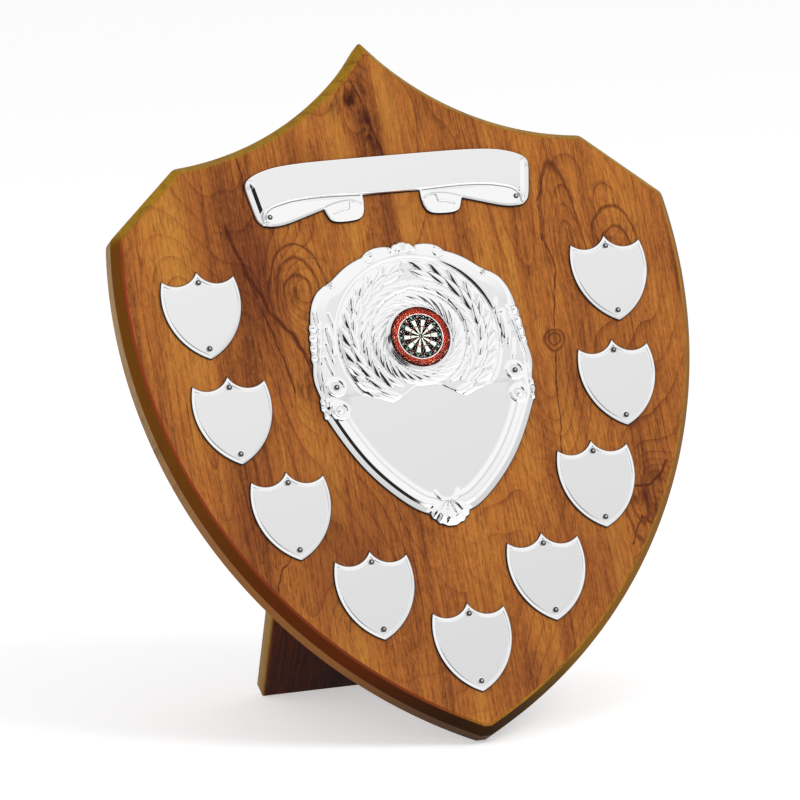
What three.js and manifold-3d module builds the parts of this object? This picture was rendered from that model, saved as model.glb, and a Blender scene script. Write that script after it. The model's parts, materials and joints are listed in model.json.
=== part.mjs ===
// A perpetual award shield. A heater-shaped wooden board leans back on a hinged strut. Its face carries
// a title scroll, a centre shield with a round domed insert, and nine small record shields, all pinned on.
// Millimetres, +Z up. The face looks towards -Y, and the origin is on the floor, under the middle.
import * as THREE from 'three';
import { mergeVertices } from 'three/addons/utils/BufferGeometryUtils.js';
import Module from 'manifold-3d';

const wasm = await Module();
wasm.setup();

// Gaps and cutters
const seatGap = 0.3; // between a piece and what carries it, and round a shank in its hole
const cutOverrun = 2; // how far a cutter runs past the face that it cuts

// Board, measured along its own back face from the bottom tip
const boardHeight = 290;
const boardThickness = 13.5;
const shoulderHalfWidth = 86.6;
const shoulderHeight = 242.8;
const cornerHalfWidth = 117.2;
const cornerHeight = 215.5;
const topArcRadius = 120.8;
const sideArcRadius = 204.3;
const tipHalfWidth = 2;
const boardCornerSoftening = 3;
const boardChamferWidth = 3.4;
const boardChamferDepth = 5;

// Stance: how far the board and the strut lean from the vertical, in degrees
const boardLean = 24;
const strutLean = 27.2;

// Pressed plates
const sheetThickness = 0.6;
const plateWallSlope = 1;

// Title scroll
const scrollHalfWidth = 60.7;
const scrollHeight = 26.8;
const scrollGap = 9.8; // from the top of the centre shield up to the scroll
const scrollTailRise = 2.2;
const scrollCurlRise = 3;
const scrollRibbonRise = 3.6;
const scrollPinSpread = 52.2;
const scrollPinHeight = 4.6;

// Centre shield
const centreHalfWidth = 46.1;
const centreHeight = 119;
const centreBottom = 84;
const centreFieldRise = 2.2;
const centreRimRise = 4.2;
const centreRimInset = 1.4;
const wreathRadius = 34;
const wreathHeight = 77.7; // from the plate's bottom tip to the middle of the wreath
const wreathBandOuterRadius = 31;
const wreathBandInnerRadius = 19;
const wreathBandRise = 3;
const ropeOuterRadius = 17;
const ropeRise = 5.4;
const ropeSlope = 1.2;
const centrePinSpread = 37.6;
const centrePinHeight = 61.4;
const bossRadius = 4.2;
const bossSlope = 0.8;
const shellRise = 5;

// Round insert
const insertRadius = 12.5;
const insertThickness = 1.2;
const insertFloorRise = 3;
const domeRimSetback = 0.5;
const domeRise = 1.8;

// Small record shields
const smallCornerHalfWidth = 14.9;
const smallHeight = 36.7;
const smallCornerDrop = 2.9;
const smallSideRadius = 27;
const smallDipRadius = 9.2;
const smallRise = 2.2;
const smallTopPinDrop = 4.9;
const smallBottomPinHeight = 4.4;
// Places of the small shields' top tips, as shares of the board's corner half width and of its height
const smallRowShares = [[0.736, 0.683], [0.692, 0.532], [0.547, 0.391], [0.307, 0.269], [0, 0.183]];

// Domed pins that hold the plates
const pinHeadRadius = 1.35;
const pinHeadRise = 0.9;
const pinShankRadius = 0.6;
const pinGrip = 9; // length of shank inside the board

// Strut
const strutWidth = 101;
const strutThickness = 9;

// Butt hinge between the board and the strut
const hingeHeight = 136.4; // of the hinge pin, along the board
const hingeWidth = 60;
const knuckleCount = 5;
const knuckleRadius = 2.7;
const knuckleGap = 0.4;
const hingePinRadius = 1.3;
const hingeBoreClearance = 0.25;
const hingePinHeadRadius = 2.1;
const hingePinHeadLength = 0.8;
const leafThickness = 1.2;
const leafDepth = 22;
const leafScrewSpread = 22;
const leafScrewOffset = 13;

// Countersunk wood screws of the hinge
const screwHeadRadius = 2.9;
const screwHeadDepth = 1.5;
const screwShankRadius = 1.3;
const screwPointLength = 2.5;
const boardScrewLength = 10;
const strutScrewLength = 7.6;
const recessLength = 3;
const recessWidth = 0.7;
const recessDepth = 0.8;

// Sawtooth hanger at the top of the back
const hangerHeight = 232;
const hangerLength = 44;
const hangerWidth = 9;
const hangerThickness = 0.8;
const hangerArchLength = 28;
const hangerRampLength = 3;
const hangerArchRise = 2.2;
const hangerToothCount = 9;
const hangerToothDepth = 1.6;
const hangerPinInset = 3.4;
const hangerPinGrip = 8;

// Facets
const sideArcSteps = 24;
const topArcSteps = 12;
const smallSideSteps = 10;
const smallDipSteps = 6;
const roundFacets = 48;
const holeFacets = 8;
const pinFacets = 10;
const knuckleFacets = 20;
const screwFacets = 16;

// Outlines as shares of the plate's half width and of its height, from the bottom to the top, right half
const scrollOutlineShares = [
  [0, 0.392], [0.196, 0.392], [0.198, 0.231], [0.209, 0.119], [0.239, 0.041], [0.297, 0.004],
  [0.395, 0], [0.448, 0.037], [0.471, 0.119], [0.483, 0.205], [0.741, 0.041], [0.824, 0.019],
  [0.898, 0.03], [0.939, 0.093], [0.956, 0.175], [0.985, 0.455], [1, 0.642], [0.993, 0.735],
  [0.956, 0.821], [0.873, 0.903], [0.741, 0.966], [0.494, 0.996], [0, 1],
];
const scrollRibbonShares = [
  [0, 0.392], [0.196, 0.4], [0.33, 0.418], [0.577, 0.41], [0.741, 0.369], [0.84, 0.306],
  [0.881, 0.213], [0.893, 0.082], [0.923, 0.06], [0.956, 0.175], [0.985, 0.455], [1, 0.642],
  [0.993, 0.735], [0.956, 0.821], [0.873, 0.903], [0.741, 0.966], [0.494, 0.996], [0, 1],
];
const scrollCurlShares = [
  [0.209, 0.119], [0.239, 0.041], [0.297, 0.004], [0.395, 0], [0.448, 0.037], [0.468, 0.119],
  [0.468, 0.28], [0.4, 0.3], [0.3, 0.31], [0.22, 0.27],
];
const centreOutlineShares = [
  [0, 0], [0.076, 0.008], [0.13, 0.024], [0.163, 0.038], [0.178, 0.05], [0.217, 0.046],
  [0.325, 0.071], [0.434, 0.109], [0.542, 0.153], [0.651, 0.195], [0.737, 0.246], [0.835, 0.309],
  [0.911, 0.374], [0.944, 0.403], [0.965, 0.424], [0.976, 0.445], [0.98, 0.462], [0.97, 0.479],
  [0.98, 0.497], [1, 0.534], [0.998, 0.571], [0.98, 0.61], [0.97, 0.67], [0.96, 0.723],
  [0.939, 0.746], [0.931, 0.773], [0.898, 0.811], [0.842, 0.845], [0.77, 0.867], [0.694, 0.876],
  [0.64, 0.903], [0.553, 0.929], [0.456, 0.948], [0.38, 0.955], [0.336, 0.971], [0.26, 0.983],
  [0.174, 0.986], [0.104, 0.985], [0.054, 0.997], [0, 1],
];
const fieldOutlineShares = [
  [0, 0.128], [0.13, 0.135], [0.325, 0.165], [0.434, 0.193], [0.629, 0.26], [0.74, 0.318],
  [0.8, 0.37], [0.8, 0.42], [0.72, 0.46], [0.607, 0.478], [0.45, 0.462], [0.315, 0.446],
  [0.2, 0.475], [0.13, 0.492], [0, 0.495],
];
const shellOutlineShares = [
  [0, 0.005], [0.074, 0.009], [0.144, 0.023], [0.187, 0.047], [0.12, 0.08], [0.05, 0.092],
  [0, 0.094],
];
const crestOutlineShares = [
  [0, 0.896], [0.05, 0.905], [0.09, 0.924], [0.1, 0.966], [0.055, 0.99], [0, 0.994],
];

// Colours
const woodMaterial = new THREE.MeshStandardMaterial({ color: 0xa4622c, roughness: 0.45, metalness: 0 });
const strutMaterial = new THREE.MeshStandardMaterial({ color: 0x5a2f1a, roughness: 0.5, metalness: 0 });
const chromeMaterial = new THREE.MeshStandardMaterial({ color: 0xe6e8ea, roughness: 0.12, metalness: 1 });
const brassMaterial = new THREE.MeshStandardMaterial({ color: 0xc8a04a, roughness: 0.35, metalness: 1 });
const discMaterial = new THREE.MeshStandardMaterial({ color: 0xb02a20, roughness: 0.35, metalness: 0.2 });
const resinMaterial = new THREE.MeshStandardMaterial({ color: 0xffffff, roughness: 0.05, metalness: 0 });

// Outline helpers. A point is a THREE.Vector2 of x and the height along the board.

// Points of an arc from one point to another, both left out
function arcBetween(from, to, radius, steps, centreOnLeft) {
  const chord = to.clone().sub(from);
  const half = chord.length() / 2;
  const left = new THREE.Vector2(-chord.y, chord.x).normalize();
  const rise = Math.sqrt(radius * radius - half * half) * (centreOnLeft ? 1 : -1);
  const centre = from.clone().add(to).multiplyScalar(1 / 2).addScaledVector(left, rise);
  const start = from.clone().sub(centre).angle();
  let sweep = to.clone().sub(centre).angle() - start;
  if (centreOnLeft && sweep < 0) sweep += 2 * Math.PI;
  if (!centreOnLeft && sweep > 0) sweep -= 2 * Math.PI;
  const points = [];
  for (let i = 1; i < steps; i += 1) {
    const angle = start + (sweep * i) / steps;
    points.push(new THREE.Vector2(Math.cos(angle), Math.sin(angle)).multiplyScalar(radius).add(centre));
  }
  return points;
}

// Three points that round a corner off between its two neighbours
function softCorner(before, corner, after, reach) {
  const first = before.clone().sub(corner).setLength(reach).add(corner);
  const last = after.clone().sub(corner).setLength(reach).add(corner);
  const middle = first.clone().add(last).add(corner).add(corner).multiplyScalar(1 / 4);
  return [first, middle, last];
}

// The whole outline, counter-clockwise seen from the front, from its right half
function mirrored(rightHalf) {
  const leftHalf = rightHalf.filter((p) => p.x > 0).reverse();
  return [...rightHalf, ...leftHalf.map((p) => new THREE.Vector2(-p.x, p.y))];
}

function fromShares(shares, halfWidth, height) {
  return shares.map(([across, up]) => new THREE.Vector2(across * halfWidth, up * height));
}

// An outline moved inwards by a distance, each corner along its bisector
function inset(outline, distance) {
  const longestMiterShare = 3;
  return outline.map((point, i) => {
    const before = outline[(i + outline.length - 1) % outline.length];
    const after = outline[(i + 1) % outline.length];
    const arriving = point.clone().sub(before).normalize();
    const leaving = after.clone().sub(point).normalize();
    const inward = new THREE.Vector2(-arriving.y - leaving.y, arriving.x + leaving.x).normalize();
    const lean = inward.x * -arriving.y + inward.y * arriving.x;
    return point.clone().addScaledVector(inward, distance * Math.min(1 / lean, longestMiterShare));
  });
}

function circle(radius, facets, centre) {
  const points = [];
  for (let i = 0; i < facets; i += 1) {
    const angle = (2 * Math.PI * i) / facets;
    points.push(new THREE.Vector2(Math.cos(angle), Math.sin(angle)).multiplyScalar(radius).add(centre));
  }
  return points;
}

// Solid helpers

// A closed body through rings of equal count. Each ring has its outline and its rise towards the face.
function loft(rings) {
  const positions = [];
  const indices = [];
  const count = rings[0].outline.length;
  for (const ring of rings) {
    for (const point of ring.outline) positions.push(point.x, -ring.rise, point.y);
  }
  for (let r = 0; r + 1 < rings.length; r += 1) {
    for (let i = 0; i < count; i += 1) {
      const j = (i + 1) % count;
      const back = r * count;
      const front = back + count;
      indices.push(back + i, back + j, front + j, back + i, front + j, front + i);
    }
  }
  const addCap = (ring, offset, facesFront) => {
    for (const [a, b, c] of THREE.ShapeUtils.triangulateShape(ring.outline, [])) {
      const [p, q, s] = [ring.outline[a], ring.outline[b], ring.outline[c]];
      const turn = (q.x - p.x) * (s.y - p.y) - (q.y - p.y) * (s.x - p.x);
      if (turn > 0 === facesFront) indices.push(offset + a, offset + b, offset + c);
      else indices.push(offset + a, offset + c, offset + b);
    }
  };
  addCap(rings[0], 0, false);
  addCap(rings[rings.length - 1], (rings.length - 1) * count, true);
  const geometry = new THREE.BufferGeometry();
  geometry.setAttribute('position', new THREE.Float32BufferAttribute(positions, 3));
  geometry.setIndex(indices);
  return geometry;
}

// A plate with sloping walls that stands on its outline
function tray(outline, rise, slope) {
  return loft([{ outline, rise: 0 }, { outline: inset(outline, slope), rise }]);
}

// A cutter with straight walls from below the base up to a rise
function cutter(outline, fromRise, toRise) {
  return loft([{ outline, rise: fromRise }, { outline, rise: toRise }]);
}

function toSolid(geometry) {
  const bare = geometry.clone();
  bare.deleteAttribute('normal');
  bare.deleteAttribute('uv');
  const merged = mergeVertices(bare);
  const corners = [];
  const index = merged.index.array;
  for (let i = 0; i < index.length; i += 3) {
    const [a, b, c] = [index[i], index[i + 1], index[i + 2]];
    if (a !== b && b !== c && c !== a) corners.push(a, b, c);
  }
  const vertProperties = new Float32Array(merged.attributes.position.array);
  return new wasm.Manifold(new wasm.Mesh({ numProp: 3, vertProperties, triVerts: new Uint32Array(corners) }));
}

function toGeometry(solid) {
  const mesh = solid.getMesh();
  const geometry = new THREE.BufferGeometry();
  geometry.setAttribute('position', new THREE.BufferAttribute(new Float32Array(mesh.vertProperties), 3));
  geometry.setIndex(new THREE.BufferAttribute(new Uint32Array(mesh.triVerts), 1));
  return geometry;
}

function joined(geometries) {
  return toGeometry(geometries.map(toSolid).reduce((whole, solid) => whole.add(solid)));
}

function cutBy(geometry, cutters) {
  return toGeometry(cutters.map(toSolid).reduce((whole, solid) => whole.subtract(solid), toSolid(geometry)));
}

// A turned body whose axis runs towards the face. The profile lists [radius, rise] from back to front.
function turned(profile, facets) {
  const points = profile.map(([radius, rise]) => new THREE.Vector2(radius, rise));
  const geometry = new THREE.LatheGeometry(points, facets);
  geometry.rotateX(Math.PI);
  return geometry;
}

function hole(x, height, radius, fromRise, toRise) {
  return cutter(circle(radius, holeFacets, new THREE.Vector2(x, height)), fromRise, toRise);
}

function mesh(name, geometry, material) {
  const piece = new THREE.Mesh(geometry, material);
  piece.name = name;
  return piece;
}

// Outlines

function boardOutline() {
  const tip = new THREE.Vector2(tipHalfWidth, 0);
  const corner = new THREE.Vector2(cornerHalfWidth, cornerHeight);
  const shoulder = new THREE.Vector2(shoulderHalfWidth, shoulderHeight);
  const top = new THREE.Vector2(0, boardHeight);
  const side = arcBetween(tip, corner, sideArcRadius, sideArcSteps, true);
  const crown = arcBetween(shoulder, top, topArcRadius, topArcSteps, false);
  return mirrored([
    tip,
    ...side,
    ...softCorner(side[side.length - 1], corner, shoulder, boardCornerSoftening),
    ...softCorner(corner, shoulder, crown[0], boardCornerSoftening),
    ...crown,
    top,
  ]);
}

function smallShieldOutline() {
  const bottom = new THREE.Vector2(0, 0);
  const corner = new THREE.Vector2(smallCornerHalfWidth, smallHeight - smallCornerDrop);
  const top = new THREE.Vector2(0, smallHeight);
  return mirrored([
    bottom,
    ...arcBetween(bottom, corner, smallSideRadius, smallSideSteps, true),
    corner,
    ...arcBetween(corner, top, smallDipRadius, smallDipSteps, false),
    top,
  ]);
}

const centreOutline = mirrored(fromShares(centreOutlineShares, centreHalfWidth, centreHeight));
const scrollOutline = mirrored(fromShares(scrollOutlineShares, scrollHalfWidth, scrollHeight));
const smallOutline = smallShieldOutline();
const wreathCentre = new THREE.Vector2(0, wreathHeight);

const scrollBottom = centreBottom + centreHeight + scrollGap;
const smallRows = smallRowShares.map(([across, up]) => (
  { halfSpread: across * cornerHalfWidth, tipHeight: up * boardHeight }
));

// Each plate's pins, in the plate's own frame
const scrollPins = [-scrollPinSpread, scrollPinSpread].map((x) => ({ x, height: scrollPinHeight }));
const centrePins = [-centrePinSpread, centrePinSpread].map((x) => ({ x, height: centrePinHeight }));
const smallPins = [
  { x: 0, height: smallHeight - smallTopPinDrop },
  { x: 0, height: smallBottomPinHeight },
];

const plateSeat = boardThickness + seatGap;
const pinHoleRadius = pinShankRadius + seatGap;

// A domed pin through a plate whose face is that far above the board
function platePin(name, pin, faceRise, grip, material) {
  const headBase = faceRise + seatGap;
  const shoulderRadiusShare = 0.8;
  const shoulderRiseShare = 0.65;
  const pointShare = 1.5; // length of the point in shank radii
  const profile = [
    [0, -grip],
    [pinShankRadius, -grip + pointShare * pinShankRadius],
    [pinShankRadius, headBase],
    [pinHeadRadius, headBase],
    [shoulderRadiusShare * pinHeadRadius, headBase + shoulderRiseShare * pinHeadRise],
    [0, headBase + pinHeadRise],
  ];
  const piece = mesh(name, turned(profile, pinFacets), material);
  piece.position.set(pin.x, 0, pin.height);
  return piece;
}

// The pressed sheet: a plate's form with its own hollow under it, as deep as its lowest face allows
function pressed(outline, form, pins, lowestRise, highestRise) {
  const hollowRise = lowestRise - sheetThickness;
  const hollow = loft([
    { outline: inset(outline, sheetThickness), rise: -cutOverrun },
    { outline: inset(outline, sheetThickness), rise: 0 },
    { outline: inset(outline, sheetThickness + plateWallSlope), rise: hollowRise },
  ]);
  const top = highestRise + cutOverrun;
  const holes = pins.map((pin) => hole(pin.x, pin.height, pinHoleRadius, -cutOverrun, top));
  return cutBy(form, [hollow, ...holes]);
}

// Pieces on the board's face

function titleScroll() {
  const curl = fromShares(scrollCurlShares, scrollHalfWidth, scrollHeight);
  const otherCurl = curl.map((p) => new THREE.Vector2(-p.x, p.y)).reverse();
  const ribbon = mirrored(fromShares(scrollRibbonShares, scrollHalfWidth, scrollHeight));
  const form = joined([
    tray(scrollOutline, scrollTailRise, plateWallSlope),
    tray(ribbon, scrollRibbonRise, plateWallSlope),
    tray(curl, scrollCurlRise, plateWallSlope),
    tray(otherCurl, scrollCurlRise, plateWallSlope),
  ]);
  return pressed(scrollOutline, form, scrollPins, scrollTailRise, scrollRibbonRise);
}

function centreShield() {
  const field = mirrored(fromShares(fieldOutlineShares, centreHalfWidth, centreHeight));
  const shell = mirrored(fromShares(shellOutlineShares, centreHalfWidth, centreHeight));
  const crest = mirrored(fromShares(crestOutlineShares, centreHalfWidth, centreHeight));
  const rimFoot = inset(centreOutline, plateWallSlope);
  const rimTop = inset(centreOutline, plateWallSlope + centreRimInset);
  const rim = loft([
    { outline: centreOutline, rise: 0 },
    { outline: rimFoot, rise: centreFieldRise },
    { outline: rimTop, rise: centreRimRise },
  ]);
  const basin = (outline, slope) => loft([
    { outline, rise: centreFieldRise },
    { outline: inset(outline, -slope), rise: centreRimRise },
    { outline: inset(outline, -slope), rise: centreRimRise + cutOverrun },
  ]);
  const dished = cutBy(rim, [
    basin(circle(wreathRadius, roundFacets, wreathCentre), centreRimInset),
    basin(field, centreRimInset),
  ]);
  const band = cutBy(
    tray(circle(wreathBandOuterRadius, roundFacets, wreathCentre), wreathBandRise, plateWallSlope),
    [cutter(circle(wreathBandInnerRadius, roundFacets, wreathCentre), -cutOverrun, wreathBandRise + cutOverrun)],
  );
  const bosses = centrePins.map((pin) => {
    const middle = new THREE.Vector2(pin.x, pin.height);
    return tray(circle(bossRadius, holeFacets, middle), centreRimRise, bossSlope);
  });
  const form = joined([
    dished,
    band,
    tray(circle(ropeOuterRadius, roundFacets, wreathCentre), ropeRise, ropeSlope),
    ...bosses,
    tray(shell, shellRise, plateWallSlope),
    tray(crest, shellRise, plateWallSlope),
  ]);
  const seatRadius = insertRadius + seatGap;
  const seat = cutter(circle(seatRadius, roundFacets, wreathCentre), insertFloorRise, ropeRise + cutOverrun);
  return pressed(centreOutline, cutBy(form, [seat]), centrePins, centreFieldRise, ropeRise);
}

const smallGeometry = pressed(
  smallOutline,
  tray(smallOutline, smallRise, plateWallSlope),
  smallPins,
  smallRise,
  smallRise,
);

const discBase = insertFloorRise + seatGap;
const domeBase = discBase + insertThickness + seatGap;

function centreDisc() {
  const profile = [[0, discBase], [insertRadius, discBase], [insertRadius, discBase + insertThickness],
    [0, discBase + insertThickness]];
  return turned(profile, roundFacets);
}

function resinDome() {
  const rimRadius = insertRadius - domeRimSetback;
  const shoulderShares = [[1, 0.3], [0.93, 0.62], [0.75, 0.86], [0.45, 0.97]];
  const profile = [[0, domeBase], [rimRadius, domeBase]];
  for (const [across, up] of shoulderShares) profile.push([across * rimRadius, domeBase + up * domeRise]);
  profile.push([0, domeBase + domeRise]);
  return turned(profile, roundFacets);
}

// Where each plate sits on the board, with its pins and how high its face is at them
const plates = [
  { name: 'title_scroll', x: 0, bottom: scrollBottom, pins: scrollPins, faceRise: scrollTailRise },
  { name: 'centre_shield', x: 0, bottom: centreBottom, pins: centrePins, faceRise: centreRimRise },
];
const addSmall = (x, row) => {
  const name = `side_shield_${plates.length - 1}`;
  plates.push({ name, x, bottom: row.tipHeight - smallHeight, pins: smallPins, faceRise: smallRise });
};
// Numbered down the left side, across the bottom and up the right side
for (const row of smallRows) addSmall(-row.halfSpread, row);
for (const row of [...smallRows].reverse()) {
  if (row.halfSpread > 0) addSmall(row.halfSpread, row);
}

// Board
const hangerPinSpread = hangerLength / 2 - hangerPinInset;
const screwHoleRadius = screwShankRadius + seatGap;
const leafScrews = [-leafScrewSpread, 0, leafScrewSpread];
const pinHoleDepth = pinGrip + seatGap;

function backboard() {
  const outline = boardOutline();
  const slab = loft([
    { outline, rise: 0 },
    { outline, rise: boardThickness - boardChamferDepth },
    { outline: inset(outline, boardChamferWidth), rise: boardThickness },
  ]);
  const holes = [];
  for (const plate of plates) {
    for (const pin of plate.pins) {
      const floor = plateSeat - pinHoleDepth;
      const top = boardThickness + cutOverrun;
      holes.push(hole(plate.x + pin.x, plate.bottom + pin.height, pinHoleRadius, floor, top));
    }
  }
  for (const x of leafScrews) {
    const deep = boardScrewLength + seatGap;
    holes.push(hole(x, hingeHeight - leafScrewOffset, screwHoleRadius, -cutOverrun, deep));
  }
  for (const x of [-hangerPinSpread, hangerPinSpread]) {
    holes.push(hole(x, hangerHeight, pinHoleRadius, -cutOverrun, hangerPinGrip + seatGap));
  }
  return cutBy(slab, holes);
}

// Hinge. The pin runs along X, as far behind the board's back as in front of the strut's face.
const pinStandoff = knuckleRadius + seatGap;
const knuckleLength = hingeWidth / knuckleCount;
const boreRadius = hingePinRadius + hingeBoreClearance;

// A leaf with its knuckles, flat against the plane that is one standoff in front of the pin, below the pin
function hingeLeaf(ownKnuckle) {
  const tube = new THREE.Shape();
  tube.absarc(0, 0, knuckleRadius, 0, 2 * Math.PI);
  const bore = new THREE.Path();
  bore.absarc(0, 0, boreRadius, 0, 2 * Math.PI);
  tube.holes.push(bore);
  const flat = leafThickness;
  const near = -knuckleRadius;
  const notch = knuckleRadius + knuckleGap;
  const plate = new THREE.BoxGeometry(hingeWidth, flat, leafDepth - notch);
  plate.translate(0, near + flat / 2, -(leafDepth + notch) / 2);
  const pieces = [plate];
  for (let k = 0; k < knuckleCount; k += 1) {
    if (ownKnuckle(k)) {
      const length = knuckleLength - knuckleGap;
      const middle = (k + 1 / 2) * knuckleLength - hingeWidth / 2;
      const curveSegments = knuckleFacets / 2; // a full circle has two points for each
      const ring = new THREE.ExtrudeGeometry(tube, { depth: length, bevelEnabled: false, curveSegments });
      ring.rotateY(Math.PI / 2);
      ring.translate(middle - length / 2, 0, 0);
      const web = new THREE.BoxGeometry(length, flat, notch + flat);
      web.translate(middle, near + flat / 2, -(notch + flat) / 2);
      const clearBore = new THREE.CylinderGeometry(boreRadius, boreRadius, hingeWidth, knuckleFacets);
      clearBore.rotateZ(Math.PI / 2);
      pieces.push(ring, cutBy(web, [clearBore]));
    }
  }
  return joined(pieces);
}

// Countersunk holes in a leaf that faces away from the pin
function leafScrewHoles() {
  return leafScrews.map((x) => {
    const shank = screwShankRadius + seatGap;
    const head = screwHeadRadius + seatGap;
    const facesPin = -knuckleRadius + leafThickness;
    const below = facesPin - screwHeadDepth;
    const profile = [
      [0, below - cutOverrun], [shank, below - cutOverrun], [shank, below], [head, facesPin],
      [head, facesPin + cutOverrun], [0, facesPin + cutOverrun],
    ];
    const body = turned(profile, screwFacets);
    body.rotateX(Math.PI);
    body.translate(x, 0, -leafScrewOffset);
    return body;
  });
}

// A wood screw with its head's face at the leaf's inner face, pointing away from the pin
function leafScrew(length) {
  const face = -knuckleRadius + leafThickness;
  const profile = [
    [0, face - length],
    [screwShankRadius, face - length + screwPointLength],
    [screwShankRadius, face - screwHeadDepth],
    [screwHeadRadius, face],
    [0, face],
  ];
  const body = turned(profile, screwFacets);
  body.rotateX(Math.PI);
  const bars = [[recessLength, recessWidth], [recessWidth, recessLength]].map(([across, up]) => {
    const bar = new THREE.BoxGeometry(across, 2 * recessDepth, up);
    bar.translate(0, face, 0);
    return bar;
  });
  return cutBy(body, bars);
}

function hingePin() {
  const half = hingeWidth / 2 + seatGap;
  const end = half + hingePinHeadLength;
  const profile = [
    [0, -end], [hingePinHeadRadius, -end], [hingePinHeadRadius, -half], [hingePinRadius, -half],
    [hingePinRadius, half], [hingePinHeadRadius, half], [hingePinHeadRadius, end], [0, end],
  ];
  const geometry = turned(profile, screwFacets);
  geometry.rotateZ(Math.PI / 2);
  return geometry;
}

// Strut, in the frame of the hinge pin, as it lies when it is folded flat against the board
const boardLeanAngle = THREE.MathUtils.degToRad(boardLean);
const strutLeanAngle = THREE.MathUtils.degToRad(strutLean);
const openAngle = boardLeanAngle + strutLeanAngle;
const pinFloorHeight = hingeHeight * Math.cos(boardLeanAngle) - pinStandoff * Math.sin(boardLeanAngle);
const strutReach = (pinFloorHeight + pinStandoff * Math.sin(strutLeanAngle)) / Math.cos(strutLeanAngle);

// How far above the pin the strut's bevelled top may reach, at a depth behind the pin, when it is open
function bevelHeight(depth) {
  return (depth * Math.cos(openAngle) + pinStandoff - seatGap) / Math.sin(openAngle);
}

function strut() {
  const panel = (top) => [
    new THREE.Vector2(-strutWidth / 2, -strutReach),
    new THREE.Vector2(strutWidth / 2, -strutReach),
    new THREE.Vector2(strutWidth / 2, top),
    new THREE.Vector2(-strutWidth / 2, top),
  ];
  const rear = pinStandoff + strutThickness;
  const body = loft([
    { outline: panel(bevelHeight(rear)), rise: -rear },
    { outline: panel(bevelHeight(pinStandoff)), rise: -pinStandoff },
  ]);
  const deep = knuckleRadius - leafThickness + strutScrewLength + seatGap;
  const holes = leafScrews.map((x) => hole(x, -leafScrewOffset, screwHoleRadius, -deep, cutOverrun));
  return cutBy(body, holes);
}

// Sawtooth hanger, in the board's frame: a strip with an arched middle, toothed along its lower edge
function sawtoothHanger() {
  const flatEnd = hangerLength / 2;
  const archEnd = hangerArchLength / 2;
  const archFoot = archEnd + hangerRampLength;
  const archTop = hangerArchRise + hangerThickness;
  const path = [
    [flatEnd, 0], [flatEnd, hangerThickness], [archFoot, hangerThickness], [archEnd, archTop],
    [-archEnd, archTop], [-archFoot, hangerThickness], [-flatEnd, hangerThickness], [-flatEnd, 0],
    [-archFoot, 0], [-archEnd, hangerArchRise], [archEnd, hangerArchRise], [archFoot, 0],
  ];
  const shape = new THREE.Shape(path.map(([x, y]) => new THREE.Vector2(x, y)));
  const strip = new THREE.ExtrudeGeometry(shape, { depth: hangerWidth, bevelEnabled: false });
  strip.translate(0, seatGap, hangerHeight - hangerWidth / 2);
  const pitch = hangerArchLength / hangerToothCount;
  const bottom = hangerHeight - hangerWidth / 2;
  const cuts = [];
  for (let i = 0; i < hangerToothCount; i += 1) {
    const middle = (i + 1 / 2) * pitch - archEnd;
    const notch = [
      new THREE.Vector2(middle - pitch / 2 + seatGap, bottom - cutOverrun),
      new THREE.Vector2(middle + pitch / 2 - seatGap, bottom - cutOverrun),
      new THREE.Vector2(middle + pitch / 2 - seatGap, bottom),
      new THREE.Vector2(middle, bottom + hangerToothDepth),
      new THREE.Vector2(middle - pitch / 2 + seatGap, bottom),
    ];
    cuts.push(cutter(notch, -(archTop + cutOverrun), 0));
  }
  for (const x of [-hangerPinSpread, hangerPinSpread]) {
    cuts.push(hole(x, hangerHeight, pinHoleRadius, -(hangerThickness + cutOverrun), cutOverrun));
  }
  return cutBy(strip, cuts);
}

// Assembly. The board group's frame: back face at y = 0, bottom tip at height 0.
const boardGroup = new THREE.Group();
boardGroup.rotation.x = -boardLeanAngle;
boardGroup.add(mesh('backboard', backboard(), woodMaterial));

const plateGeometry = { title_scroll: titleScroll(), centre_shield: centreShield() };
for (const plate of plates) {
  const onFace = new THREE.Group();
  onFace.position.set(plate.x, -plateSeat, plate.bottom);
  onFace.add(mesh(plate.name, plateGeometry[plate.name] ?? smallGeometry, chromeMaterial));
  const ends = plate.pins === smallPins ? ['top', 'bottom'] : ['left', 'right'];
  plate.pins.forEach((pin, i) => {
    onFace.add(platePin(`${plate.name}_pin_${ends[i]}`, pin, plate.faceRise, pinGrip, chromeMaterial));
  });
  boardGroup.add(onFace);
}

const insertGroup = new THREE.Group();
insertGroup.position.set(0, -plateSeat, centreBottom + wreathHeight);
insertGroup.add(mesh('centre_disc', centreDisc(), discMaterial));
insertGroup.add(mesh('resin_dome', resinDome(), resinMaterial));
boardGroup.add(insertGroup);

// The hinge's two leaves mirror each other about the pin when the strut is folded
const isBoardKnuckle = (k) => k % 2 === 0;
const hingeGroup = new THREE.Group();
hingeGroup.position.set(0, pinStandoff, hingeHeight);
hingeGroup.add(mesh('board_hinge_leaf', cutBy(hingeLeaf(isBoardKnuckle), leafScrewHoles()), brassMaterial));
hingeGroup.add(mesh('hinge_pin', hingePin(), brassMaterial));
leafScrews.forEach((x, i) => {
  const screw = mesh(`board_leaf_screw_${i + 1}`, leafScrew(boardScrewLength), brassMaterial);
  screw.position.set(x, 0, -leafScrewOffset);
  hingeGroup.add(screw);
});

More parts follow.
